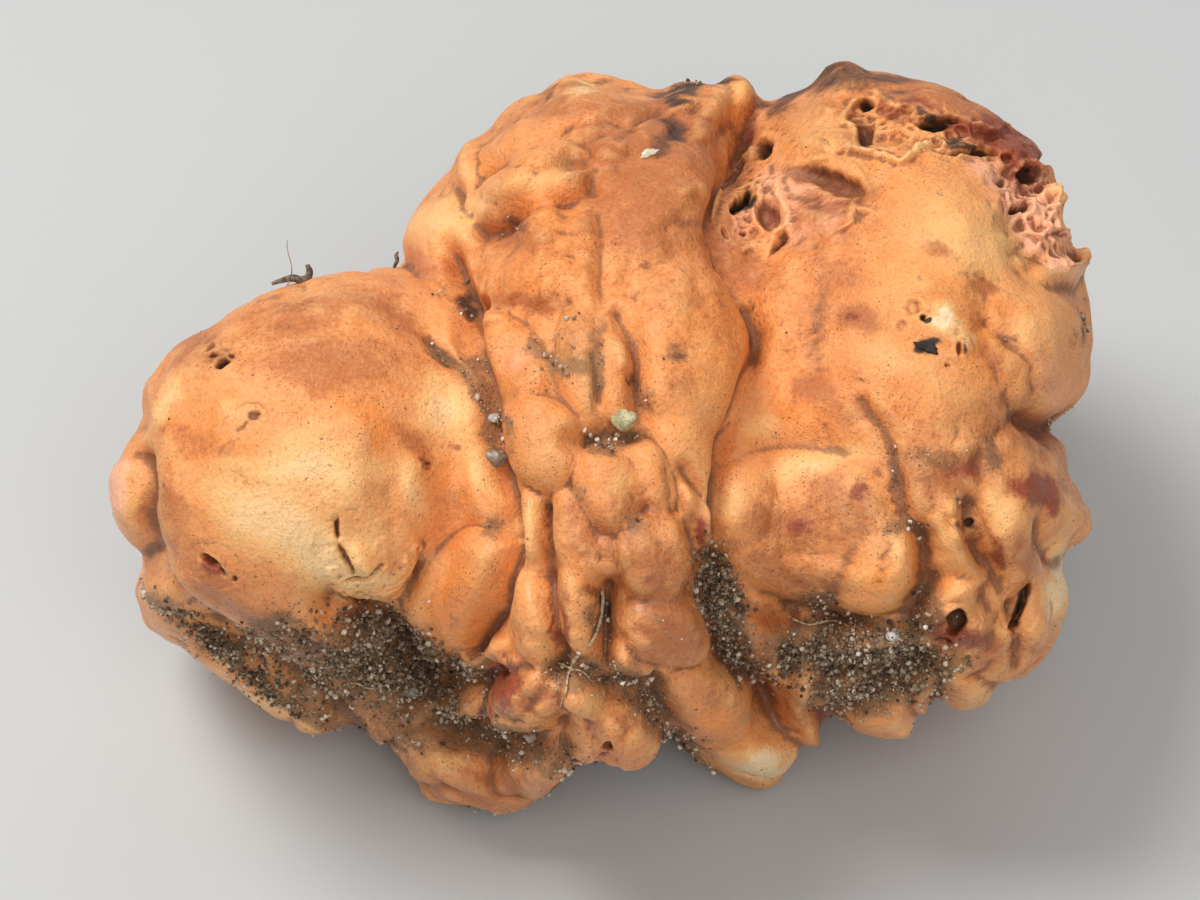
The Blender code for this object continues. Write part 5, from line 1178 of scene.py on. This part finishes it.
def skinMaterial():
    # peach skin mottled cream, amber and tan; the stains laid over it by their masks, broken up by noise,
    # the pale ones partly painted highlight on bulges; painted shade in hollows and creases (umber), a
    # painted highlight on ridges (lighter), red stains wine, then a film of mud, dark stains and the painted
    # shade of holes, pits and ledges, and fine dark specks over all
    finish = Finish("fungus_skin", skinFinish["fixed"])
    broad, middle, fine = finish.noise(0.22, 3.0), finish.noise(0.9, 4.0, 0.6), finish.noise(4.0, 3.0, 0.6)
    grit, grain = finish.noise(9.0, 2.0, 0.6), finish.noise(6.5, 4.0, 0.7)

    def patch(name, soften=0.85, low=0.15, high=0.8):
        return finish.between(low, high, finish.mask(name) + (middle - 0.5) * soften + (fine - 0.5) * 0.5)

    dirt = patch("dirt", 1.1, 0.1, 0.75)
    flock = finish.between(0.4, 0.62, finish.noise(0.35, 3.0, 0.6))
    specks = finish.between(0.66, 0.72, grit + finish.mask("dirt") * 0.08 + flock * 0.03)
    # how much of each colour goes over those before it
    layers = [
        (finish.between(0.35, 0.7, broad) * 0.24, "cream"),
        (finish.between(0.42, 0.68, middle) * 0.6, "amber"),
        (finish.between(0.5, 0.75, finish.noise(0.5, 4.0, 0.65)) * 0.45, "tan"),
        (patch("orange") * 0.75, "amber"),
        # pale patches, partly painted highlight on bulges
        (patch("pale") * 0.75, "cream"),
        (finish.between(0.7, 1.3, finish.mask("pale")) * 0.8, "ivory"),
        (patch("pink") * 0.75, "rose"),
        (patch("brown") * 0.8, "tan"),
        (finish.between(0.55, 0.72, fine) * 0.25, "umber"),
        # painted shade: umber laid into hollows and creases
        (finish.between(0.2, 1.0, finish.mask("hollow") + (fine - 0.5) * 0.4) * 0.65, "umber"),
        (finish.between(0.2, 1.0, finish.mask("crease")) * 0.7, "umber"),
        # painted highlight: cream laid on ridges
        (finish.between(0.2, 1.0, finish.mask("ridge")) * 0.22, "cream"),
        (patch("red") * 0.9, "wine"),
        (finish.between(0.5, 0.72, grain) * 0.26, "umber"),
        (finish.between(0.52, 0.3, grain) * 0.08, "ivory"),
        (dirt * 0.7, "mud"),
        # dark stains, and painted shade in holes, pits and under ledges
        (patch("dark", 0.9, 0.1, 0.8) * 0.8, "umber"),
        (patch("dark", 0.6, 0.45, 1.1), "soot"),
        (specks * (0.25 + 0.6 * flock), "speck"),
    ]
    colour = skinFinish["peach"]
    for share, tint in layers:
        colour = finish.blend(share, colour, skinFinish[tint])
    rough = 0.5 + (fine - 0.5) * 0.3 + dirt * 0.3 - finish.mask("damp") * 0.12
    relief = fine * 0.8 + middle * 0.5 + finish.noise(2.0, 4.0, 0.65) * 1.1 + grain * 0.35 - specks * 0.2
    finish.fill(finish.shader, {"Base Color": colour, "Roughness": rough,
                                "Coat Weight": finish.mask("damp") * 0.3 * finish.between(0.4, 0.6, middle)})
    finish.bump(relief, 0.55, 0.13)
    return finish.material


print("material: fungus skin")
skin = skinMaterial()
body = newPiece("fruit_body_skin", bodyPoints, faces, stains, skin)
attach(body, "root")
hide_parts("fruit_body")
for name in fineSheets:
    places, rows, nearEye, low, bend, shade, raised, share = sheetSurface(name)
    masks = stainsAt(places, nearEye, low, bend)
    # the painted shade of the sheet's holes joins the dark mask
    masks["dark"] = np.maximum(masks["dark"], shade)
    paleLips = sheetFit["lipPale"] * np.clip(raised / sheetFit["lipFull"], 0.0, 1.0) * share
    masks["pale"] = np.maximum(masks["pale"], paleLips)
    piece = newPiece(name, places, rows, masks, skin)
    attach(piece, "root")
    print(name + ":", len(rows), "faces")


# grains and crumbs of soil

grainForm = {
    # twelve corners and twenty faces of the grain that all the others are drawn from
    "long": 1.618,
    "pileRarity": 1.3,            # how few grains lie high in a pile
    "overFloor": 0.02,            # no grain reaches nearer to the floor
    "faces": [
        (0, 11, 5), (0, 5, 1), (0, 1, 7), (0, 7, 10), (0, 10, 11), (1, 5, 9), (5, 11, 4), (11, 10, 2),
        (10, 7, 6), (7, 1, 8), (3, 9, 4), (3, 4, 2), (3, 2, 6), (3, 6, 8), (3, 8, 9), (4, 9, 5),
        (2, 4, 11), (6, 2, 10), (8, 6, 7), (9, 8, 1),
    ],
}


def grainCorners():
    long = grainForm["long"]
    rows = [(-1, long, 0), (1, long, 0), (-1, -long, 0), (1, -long, 0), (0, -1, long), (0, 1, long),
            (0, -1, -long), (0, 1, -long), (long, 0, -1), (long, 0, 1), (-long, 0, -1), (-long, 0, 1)]
    return unit(np.array(rows, float))


faceCorners = points[faces]
faceMiddles = faceCorners.mean(axis=1)
faceSizes = 0.5 * np.linalg.norm(
    np.cross(faceCorners[:, 2] - faceCorners[:, 0], faceCorners[:, 3] - faceCorners[:, 1]), axis=1)


def faceMean(values):
    return values[faces].mean(axis=1)


def randomTurns(draw, count):
    # rotation matrices from even random quaternions
    w, x, y, z = unit(draw.normal(size=(count, 4))).T
    return np.stack([
        1 - 2 * (y * y + z * z), 2 * (x * y - z * w), 2 * (x * z + y * w),
        2 * (x * y + z * w), 1 - 2 * (x * x + z * z), 2 * (y * z - x * w),
        2 * (x * z - y * w), 2 * (y * z + x * w), 1 - 2 * (x * x + y * y),
    ], axis=-1).reshape(count, 3, 3)


def scattered(name, settings, weight, material):
    # grains on the skin: faces drawn by weight times area, a place in each, lifted by a random part of the
    # pile's height; each grain is the base one with its corners moved in or out, stretched and turned
    draw = np.random.default_rng(settings["seed"])
    count = settings["count"]
    chance = weight * faceSizes
    picked = draw.choice(len(faces), count, p=chance / chance.sum())
    share = draw.uniform(size=(count, 2, 1))
    corners = faceCorners[picked]
    low = corners[:, 0] * (1 - share[:, 0]) + corners[:, 1] * share[:, 0]
    high = corners[:, 3] * (1 - share[:, 0]) + corners[:, 2] * share[:, 0]
    size = draw.uniform(0.0, 1.0, count) ** settings["rarity"]
    size = settings["size"][0] + (settings["size"][1] - settings["size"][0]) * size
    heaped = draw.uniform(0.0, 1.0, count) ** grainForm["pileRarity"]
    pile = settings["pile"] * np.clip(weight[picked], 0.0, 1.0) * heaped
    lean = unit(normals[faces[picked]].mean(axis=1))
    middle = low * (1 - share[:, 1]) + high * share[:, 1] + lean * (pile + size * settings["proud"])[:, None]
    shape = grainCorners()[None] * draw.uniform(1.0 - settings["uneven"], 1.0, (count, 12, 1))
    shape = shape * draw.uniform(settings["flat"], 1.0, (count, 1, 3)) * size[:, None, None]
    places = (middle[:, None] + shape @ randomTurns(draw, count)).reshape(-1, 3)
    places[:, 2] = np.maximum(places[:, 2], grainForm["overFloor"] - eye["heart"][2])
    rows = (np.array(grainForm["faces"])[None] + 12 * np.arange(count)[:, None, None]).reshape(-1, 3)
    shade = np.repeat(draw.uniform(0.0, 1.0, count), 12)
    print(name + ":", count, "grains")
    return newPiece(name, places, rows, {"shade": shade}, material, smooth=False)


def soilMaterial():
    # each grain's colour comes from a ramp by its own number: black humus to brown earth, a few pale as sand
    finish = Finish("soil_crumbs", {"Roughness": 0.85, "IOR": 1.45})
    shade = finish.mask("shade")
    stops = [(0.0, (0.055, 0.036, 0.024, 1)), (0.2, (0.155, 0.095, 0.055, 1)),
             (0.55, (0.30, 0.195, 0.112, 1)), (0.85, (0.47, 0.35, 0.225, 1)), (1.0, (0.84, 0.73, 0.58, 1))]
    colour = finish.node("ShaderNodeValToRGB", {"stops": stops}, {0: shade})
    mottle = finish.between(0.4, 0.65, finish.noise(9.0, 3.0))
    finish.fill(finish.shader, {
        "Base Color": finish.blend(mottle * 0.35, colour, (0.07, 0.045, 0.03, 1)),
        "Roughness": 0.9 - 0.5 * shade ** 3.0,
    })
    finish.bump(finish.noise(14.0, 3.0, 0.6), 0.5, 0.05)
    return finish.material


def quartzMaterial():
    # clear to milky and yellowish sand, wet looking, with a faint cloud inside each grain
    finish = Finish("quartz_sand", {"IOR": 1.54})
    shade = finish.mask("shade")
    stops = [(0.0, (0.30, 0.21, 0.14, 1)), (0.4, (0.52, 0.40, 0.28, 1)), (0.75, (0.74, 0.63, 0.49, 1)),
             (0.93, (0.84, 0.76, 0.65, 1)), (1.0, (0.80, 0.60, 0.32, 1))]
    colour = finish.node("ShaderNodeValToRGB", {"stops": stops}, {0: shade})
    cloud = finish.between(0.35, 0.7, finish.noise(6.0, 3.0))
    finish.fill(finish.shader, {
        "Base Color": finish.blend(cloud * 0.35, colour, (0.45, 0.38, 0.30, 1)),
        "Roughness": 0.12 + 0.3 * cloud,
    })
    finish.bump(finish.noise(10.0, 2.0), 0.25, 0.03)
    return finish.material


soilEarth, quartz = soilMaterial(), quartzMaterial()
dirtOnFaces = faceMean(stains["dirt"])
seenFaces = seenPlaces(faceMiddles)[0]

# across, up, half length, half width, turn of each crust, as the solids have them
soilCrusts = {
    "soil_left": {"oval": (-10.8, -10.3, 4.6, 2.3, -26), "count": 4300, "seed": 21},
    "soil_groove": {"oval": (-17.8, -10.6, 3.7, 1.0, -38), "count": 1700, "seed": 22},
    "soil_cleft": {"oval": (6.2, -7.6, 2.8, 1.2, 105), "count": 1500, "seed": 23},
    "soil_right": {"oval": (13.2, -10.6, 4.4, 1.7, 2), "count": 3700, "seed": 24},
}
# smallest and largest size, how rare the large ones are, and how deep, proud, uneven and flat they lie
crustGrains = {"size": (0.035, 0.22), "rarity": 3.0, "pile": 0.55, "proud": 0.2, "uneven": 0.35, "flat": 0.55}
for node, crust in soilCrusts.items():
    inside = inOval(seenFaces, crust["oval"], 4) * faceMean(facing)
    settings = dict(crustGrains, count=crust["count"], seed=crust["seed"])
    piece = scattered(node + "_crumbs", settings, inside * (0.15 + dirtOnFaces), soilEarth)
    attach(piece, "root")
    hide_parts(node)

looseSoil = {
    "furrow_crumbs": {"count": 8500, "seed": 31, "size": (0.03, 0.19), "rarity": 3.2, "pile": 0.35,
                      "proud": 0.2, "uneven": 0.35, "flat": 0.5},
    "skin_specks": {"count": 4700, "seed": 32, "size": (0.025, 0.10), "rarity": 3.0, "pile": 0.0,
                    "proud": 0.1, "uneven": 0.35, "flat": 0.35},
    "sand_grains": {"count": 2850, "seed": 33, "size": (0.05, 0.26), "rarity": 3.6, "pile": 0.55,
                    "proud": 0.3, "uneven": 0.5, "flat": 0.5},
}
weights = {
    "furrow_crumbs": np.maximum(dirtOnFaces - 0.15, 0.0) ** 1.3,
    "skin_specks": 0.05 + 0.6 * dirtOnFaces + 0.25 * faceMean(stains["damp"]),
    "sand_grains": np.maximum(dirtOnFaces - 0.1, 0.0) ** 1.2 + 0.006 * faceMean(stains["damp"]),
}
for name, settings in looseSoil.items():
    piece = scattered(name, settings, weights[name], quartz if name == "sand_grains" else soilEarth)
    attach(piece, "root")


# rootlets, standing scraps, a hair and flakes, on the skin where the eye sees them

skinTree = BVHTree.FromPolygons([Vector(p) for p in points], faces.tolist())


def onSkin(across, up, proud):
    # the skin's point that the eye sees at a place, lifted towards the eye; past the outline the place is
    # drawn back to it in small steps
    start = towardAxis * eye["distance"]
    for back in np.linspace(0.0, 0.3, 31):
        aim = unit((1.0 - back) * (across * acrossAxis + up * upAxis) - start)
        hit = skinTree.ray_cast(Vector(start), Vector(aim))[0]
        if hit is not None:
            return np.array(hit) + towardAxis * proud


def smoothLine(stops, count):
    # a curve through the stops: cubic between each two, its slope there from the stops on either side
    stops = np.array(stops, float)
    padded = np.concatenate([[2 * stops[0] - stops[1]], stops, [2 * stops[-1] - stops[-2]]])
    places = np.linspace(0.0, len(stops) - 1.0, count)
    index = np.minimum(places.astype(int), len(stops) - 2)
    t = (places - index)[:, None]
    a, b, c, d = (padded[index + k] for k in range(4))
    square, cube = 2 * a - 5 * b + 4 * c - d, 3 * b - a - 3 * c + d
    return 0.5 * (2 * b + (c - a) * t + square * t ** 2 + cube * t ** 3)


def tube(name, line, widths, sides, material):
    # a ring carried along a path, with its ends closed:
    # ring k = line[k] + widths[k] (cos turn * first + sin turn * second)
    ahead = unit(np.gradient(line, axis=0))
    first = unit(np.cross(ahead, np.array([0.31, 0.87, 0.38])))
    second = np.cross(ahead, first)
    turn = np.linspace(0.0, 2.0 * math.pi, sides, endpoint=False)[None, :, None]
    circle = np.cos(turn) * first[:, None] + np.sin(turn) * second[:, None]
    rings = line[:, None] + widths[:, None, None] * circle
    places = np.concatenate([rings.reshape(-1, 3), line[:1], line[-1:]])
    side = np.arange(sides)
    beside = (side + 1) % sides
    row = np.arange(len(line) - 1)[:, None] * sides
    sheet = np.stack([row + side, row + beside, row + sides + beside, row + sides + side], axis=-1)
    sheet = sheet.reshape(-1, 4)
    tip = len(line) * sides
    start = np.stack([np.full(sides, tip), beside, side], axis=-1)
    end = np.stack([np.full(sides, tip + 1), tip - sides + side, tip - sides + beside], axis=-1)
    triangles = np.concatenate([sheet[:, [0, 1, 2]], sheet[:, [0, 2, 3]], start, end])
    return newPiece(name, places, triangles, {}, material)


def rootMaterial(name, pale, dark, roughness):
    # a dry thread or scrap: its pale colour clouded darker by noise
    finish = Finish(name, {"IOR": 1.45})
    streak = finish.between(0.35, 0.65, finish.noise(5.0, 3.0))
    finish.fill(finish.shader, {"Base Color": finish.blend(streak, pale, dark),
                                "Roughness": roughness + 0.2 * streak})
    finish.bump(finish.noise(12.0, 2.0), 0.4, 0.03)
    return finish.material


rootlets = {
    "rootlet_cleft": {"width": 0.085, "stops": [
        (0.1, -7.0, 0.5), (0.12, -7.7, 0.3), (-0.05, -8.6, 0.25), (-0.4, -9.5, 0.2), (-1.2, -10.4, 0.3),
        (-1.6, -11.2, 0.2), (-1.75, -12.1, 0.3), (-2.0, -12.8, 0.2)]},
    "rootlet_foot": {"width": 0.06, "stops": [
        (-1.45, -15.3, 0.2), (-1.3, -15.8, 0.3), (-1.0, -16.1, 0.3), (-0.7, -16.2, 0.4)]},
    "rootlet_side": {"width": 0.045, "stops": [
        (-2.1, -10.6, 0.2), (-1.5, -10.9, 0.5), (-0.9, -11.1, 0.3), (-0.3, -11.6, 0.2)]},
    "rootlet_right": {"width": 0.05, "stops": [
        (9.4, -8.3, 0.3), (10.4, -8.7, 0.5), (11.6, -8.5, 0.4), (12.6, -8.9, 0.2)]},
    "rootlet_left": {"width": 0.05, "stops": [
        (-13.5, -12.2, 0.3), (-12.4, -11.6, 0.6), (-11.2, -11.9, 0.5), (-10.0, -11.4, 0.3)]},
}
rootForm = {"points": 60, "waver": 0.05, "waverScale": 1.3, "taper": 0.6}
straw = rootMaterial("rootlet_straw", (0.62, 0.50, 0.32, 1), (0.30, 0.19, 0.10, 1), 0.6)
for name, root in rootlets.items():
    line = smoothLine([onSkin(*stop) for stop in root["stops"]], rootForm["points"])
    line = line + rootForm["waver"] * noises(line * rootForm["waverScale"], (1.0, 9.0, 23.0))
    along = np.linspace(0.0, 1.0, rootForm["points"])
    widths = root["width"] * (1.0 - rootForm["taper"] * along ** 2)
    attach(tube(name, line, widths, 7, straw), "root")
print("rootlets:", len(rootlets))

# scraps that stand up: foot across, up, then steps across, up from it, width
standing = {
    "leaf_top": {"foot": (-15.55, 8.35), "width": 0.2, "steps": [
        (-0.95, 0.02), (-0.5, 0.22), (0.0, 0.3), (0.45, 0.22), (0.78, 0.35), (0.86, 0.66), (0.74, 0.95)]},
    "leaf_notch": {"foot": (-10.25, 9.1), "width": 0.11, "steps": [
        (-0.1, -0.1), (0.0, 0.15), (0.12, 0.35), (0.08, 0.6), (0.16, 0.8)]},
    "twig_notch": {"foot": (-6.65, 8.4), "width": 0.075, "steps": [
        (-0.65, -0.75), (-0.3, -0.3), (0.1, 0.15), (0.35, 0.5), (0.5, 0.75)]},
}
standingForm = {"points": 40, "proud": 0.15, "waver": 0.04, "waverScale": 3.0}
bark = rootMaterial("bark_scrap", (0.20, 0.15, 0.10, 1), (0.07, 0.05, 0.035, 1), 0.7)
for name, scrap in standing.items():
    foot = onSkin(*scrap["foot"], standingForm["proud"])
    count = standingForm["points"]
    line = smoothLine([foot + a * acrossAxis + u * upAxis for a, u in scrap["steps"]], count)
    line = line + standingForm["waver"] * noises(line * standingForm["waverScale"], (2.0, 8.0, 21.0))
    # thin at both ends and wide between, a little uneven
    swollen = 0.35 + 0.65 * np.sin(np.linspace(0.15, 3.0, count)) + 0.15 * smoothNoise(line * 5.0)
    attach(tube(name, line, scrap["width"] * swollen, 8, bark), "root")

print("standing scraps:", len(standing))

topHair = {"foot": (-16.0, 8.35), "length": 2.3, "width": 0.04, "points": 40, "slant": 0.1, "sway": 0.18,
           "bends": 5.0, "sunk": 0.05}
foot = onSkin(*topHair["foot"], 0.0)
climb = np.linspace(0.0, 1.0, topHair["points"])
hairLine = (foot + climb[:, None] * topHair["length"] * unit(upAxis + topHair["slant"] * acrossAxis)
            + topHair["sway"] * np.sin(climb * topHair["bends"])[:, None] * acrossAxis
            - topHair["sunk"] * upAxis)
hair = rootMaterial("hair_pinkish", (0.52, 0.30, 0.24, 1), (0.26, 0.12, 0.09, 1), 0.5)
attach(tube("hair_top", hairLine, topHair["width"] * (1.0 - 0.6 * climb), 6, hair), "root")

flakes = {
    # across, up, half length, half width, turn
    "flake_right": (16.35, 5.15, 0.62, 0.27, -20),
    "crumb_white": (2.45, 14.85, 0.45, 0.2, 20),
}
flakeForm = {"rings": 7, "sides": 28, "ragged": 0.16, "fineRagged": 0.1, "rim": 0.05, "rise": 0.12,
             "under": 0.06}


def flake(name, across, up, halfLength, halfWidth, turn, material):
    # a thin leaf on the skin: ring r, turn t go to an oval on the skin, its rim ragged by noise,
    # its top raised by rim + rise (1 - r^4) and its underside a little below the skin
    rings, sides, below = flakeForm["rings"], flakeForm["sides"], flakeForm["under"] * towardAxis
    r = np.linspace(0.0, 1.0, rings)[1:, None]
    t = np.linspace(0.0, 2.0 * math.pi, sides, endpoint=False)[None]
    ragged = (1.0 + flakeForm["ragged"] * np.sin(3.0 * t + across)
              + flakeForm["fineRagged"] * np.sin(7.0 * t + up))
    along, beside = halfLength * r * ragged * np.cos(t), halfWidth * r * ragged * np.sin(t)
    angle = math.radians(turn)
    seenAcross = (across + along * math.cos(angle) - beside * math.sin(angle)).ravel()
    seenUp = (up + along * math.sin(angle) + beside * math.cos(angle)).ravel()
    centre = onSkin(across, up, 0.0)
    level = np.array([onSkin(a, b, 0.0) for a, b in zip(seenAcross, seenUp)])
    height = flakeForm["rim"] + flakeForm["rise"] * (1.0 - np.repeat(r, sides, axis=1) ** 4)
    over, under = level + height.ravel()[:, None] * towardAxis, level - below
    top = centre + (flakeForm["rim"] + flakeForm["rise"]) * towardAxis
    places = np.concatenate([over, under, [top], [centre - below]])
    count, side = len(over), np.arange(sides)
    beyond = (side + 1) % sides
    rows = []
    for ring in range(rings - 2):
        near, far = ring * sides, (ring + 1) * sides
        rows += [np.stack([near + side, far + side, far + beyond], -1),
                 np.stack([near + side, far + beyond, near + beyond], -1),
                 np.stack([count + near + side, count + far + beyond, count + far + side], -1),
                 np.stack([count + near + side, count + near + beyond, count + far + beyond], -1)]
    rim = (rings - 2) * sides
    rows += [np.stack([rim + side, count + rim + side, count + rim + beyond], -1),
             np.stack([rim + side, count + rim + beyond, rim + beyond], -1),
             np.stack([np.full(sides, 2 * count), side, beyond], -1),
             np.stack([np.full(sides, 2 * count + 1), count + beyond, count + side], -1)]
    return newPiece(name, places, np.concatenate(rows), {}, material)


def flakeMaterial(name, pale, dark):
    # a scrap of bark or leaf: two colours parted by noise, rough
    finish = Finish(name, {"Roughness": 0.75, "IOR": 1.45})
    streak = finish.between(0.35, 0.65, finish.noise(3.0, 4.0, 0.6))
    finish.fill(finish.shader, {"Base Color": finish.blend(streak, pale, dark)})
    finish.bump(finish.noise(8.0, 3.0), 0.6, 0.05)
    return finish.material


darkFlake = flakeMaterial("flake_dark", (0.05, 0.035, 0.028, 1), (0.016, 0.011, 0.009, 1))
paleFlake = flakeMaterial("flake_pale", (0.85, 0.80, 0.68, 1), (0.55, 0.45, 0.30, 1))
for name, row in flakes.items():
    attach(flake(name, *row, paleFlake if name == "crumb_white" else darkFlake), "root")
print("flakes:", len(flakes))


# the larger pebbles, each a ball whose radius varies with layered noise

pebbles = {
    # across, up, radius, how far it sits proud of the skin, tint
    "pebble_grey": (-5.15, -0.4, 0.52, 0.20, (0.36, 0.28, 0.21, 1)),
    "pebble_yellow": (1.2, 1.5, 0.60, 0.35, (0.62, 0.54, 0.30, 1)),
    "pebble_pale": (-5.3, 1.6, 0.30, 0.15, (0.62, 0.56, 0.48, 1)),
    "pebble_foot": (-3.3, -14.4, 0.34, 0.15, (0.55, 0.47, 0.38, 1)),
    "pebble_side": (11.2, -10.5, 0.36, 0.20, (0.50, 0.45, 0.38, 1)),
    "pebble_white": (14.6, -9.3, 0.30, 0.20, (0.80, 0.76, 0.70, 1)),
    "pebble_left": (-9.4, -12.1, 0.38, 0.20, (0.42, 0.36, 0.30, 1)),
}


def pebbleMaterial(name, tint):
    # a worn stone: its tint clouded by noise and flecked dark, damp gloss
    finish = Finish(name, {"IOR": 1.5})
    cloud = finish.between(0.35, 0.65, finish.noise(2.5, 3.0, 0.6))
    fleck = finish.between(0.62, 0.68, finish.noise(9.0, 2.0))
    shadeOf = tuple(0.55 * part for part in tint[:3]) + (1,)
    colour = finish.blend(cloud, tint, shadeOf)
    finish.fill(finish.shader, {"Base Color": finish.blend(fleck * 0.7, colour, (0.05, 0.04, 0.03, 1)),
                                "Roughness": 0.3 + 0.3 * cloud})
    finish.bump(finish.noise(6.0, 3.0), 0.4, 0.05)
    return finish.material


pebbleForm = {"cells": 10, "lumps": 0.26, "lumpScale": 1.5, "stretch": np.array([1.0, 0.8, 0.75])}
ball, ballFaces = ballGrid(pebbleForm["cells"], 0.0)
for k, (name, (across, up, radius, proud, tint)) in enumerate(pebbles.items()):
    lumps = layeredNoise(ball * pebbleForm["lumpScale"] + 11.0 * k, 1.0, 3)
    shape = ball * radius * (1.0 + pebbleForm["lumps"] * lumps)[:, None] * pebbleForm["stretch"]
    piece = newPiece(name, shape + onSkin(across, up, proud), ballFaces, {}, pebbleMaterial(name, tint))
    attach(piece, "root")
print("pebbles:", len(pebbles))


# floor, light and camera

# floor, sky and lamps in metres and watts; each lamp's power, size, place and colour
stage = {
    "floorSize": 3.0,
    "floorColour": (0.52, 0.53, 0.53, 1),
    "sky": 0.40,
    "skyColour": (0.86, 0.88, 0.90, 1),
    "lamps": {
        "light_key": (1.01, 0.16, (-0.15, 0.03, 0.33), (1.0, 0.98, 0.95)),
        "light_fill": (0.56, 0.22, (0.06, -0.26, 0.30), (1.0, 0.99, 0.97)),
        "light_back": (0.12, 0.18, (0.10, 0.32, 0.16), (1.0, 0.97, 0.93)),
    },
}


def floorMaterial():
    # plain pale grey, with a trace of mottling
    finish = Finish("floor_plain", {"Roughness": 0.9})
    mottle = finish.between(0.3, 0.7, finish.noise(0.05, 3.0))
    colour = finish.blend(mottle * 0.05, stage["floorColour"], (0.5, 0.5, 0.5, 1))
    finish.fill(finish.shader, {"Base Color": colour})
    return finish.material


half = stage["floorSize"] / 2.0
floorMesh = bpy.data.meshes.new("floor")
corners = [(-half, -half, 0.0), (half, -half, 0.0), (half, half, 0.0), (-half, half, 0.0)]
floorMesh.from_pydata(corners, [], [(0, 1, 2, 3)])
floorMesh.materials.append(floorMaterial())
floor = bpy.data.objects.new("floor", floorMesh)
bpy.context.scene.collection.objects.link(floor)


def aimed(holder, place, target):
    holder.location = place
    holder.rotation_euler = (Vector(target) - Vector(place)).to_track_quat("-Z", "Y").to_euler()


def softLight(name, power, size, place, target, colour):
    light = bpy.data.lights.new(name, "AREA")
    light.energy, light.size, light.color = power, size, colour
    holder = bpy.data.objects.new(name, light)
    bpy.context.scene.collection.objects.link(holder)
    aimed(holder, place, target)


heartPlace = Vector(eye["heart"] * mm)
for name, (power, size, place, colour) in stage["lamps"].items():
    softLight(name, power, size, place, heartPlace, colour)
world = bpy.data.worlds.new("plain_sky")
world.use_nodes = True
sky = world.node_tree.nodes["Background"].inputs
sky["Color"].default_value, sky["Strength"].default_value = stage["skyColour"], stage["sky"]
bpy.context.scene.world = world
bpy.context.scene.view_settings.view_transform = "Standard"

lens = bpy.data.cameras.new("camera")
lens.lens, lens.sensor_width = eye["lens"], eye["sensor"]
lens.clip_start, lens.clip_end = 0.01, 10.0
camera = bpy.data.objects.new("camera", lens)
bpy.context.scene.collection.objects.link(camera)
aimed(camera, heartPlace + Vector(towardAxis) * eye["distance"] * mm, heartPlace)
bpy.context.scene.camera = camera

print("floor, lights and camera")
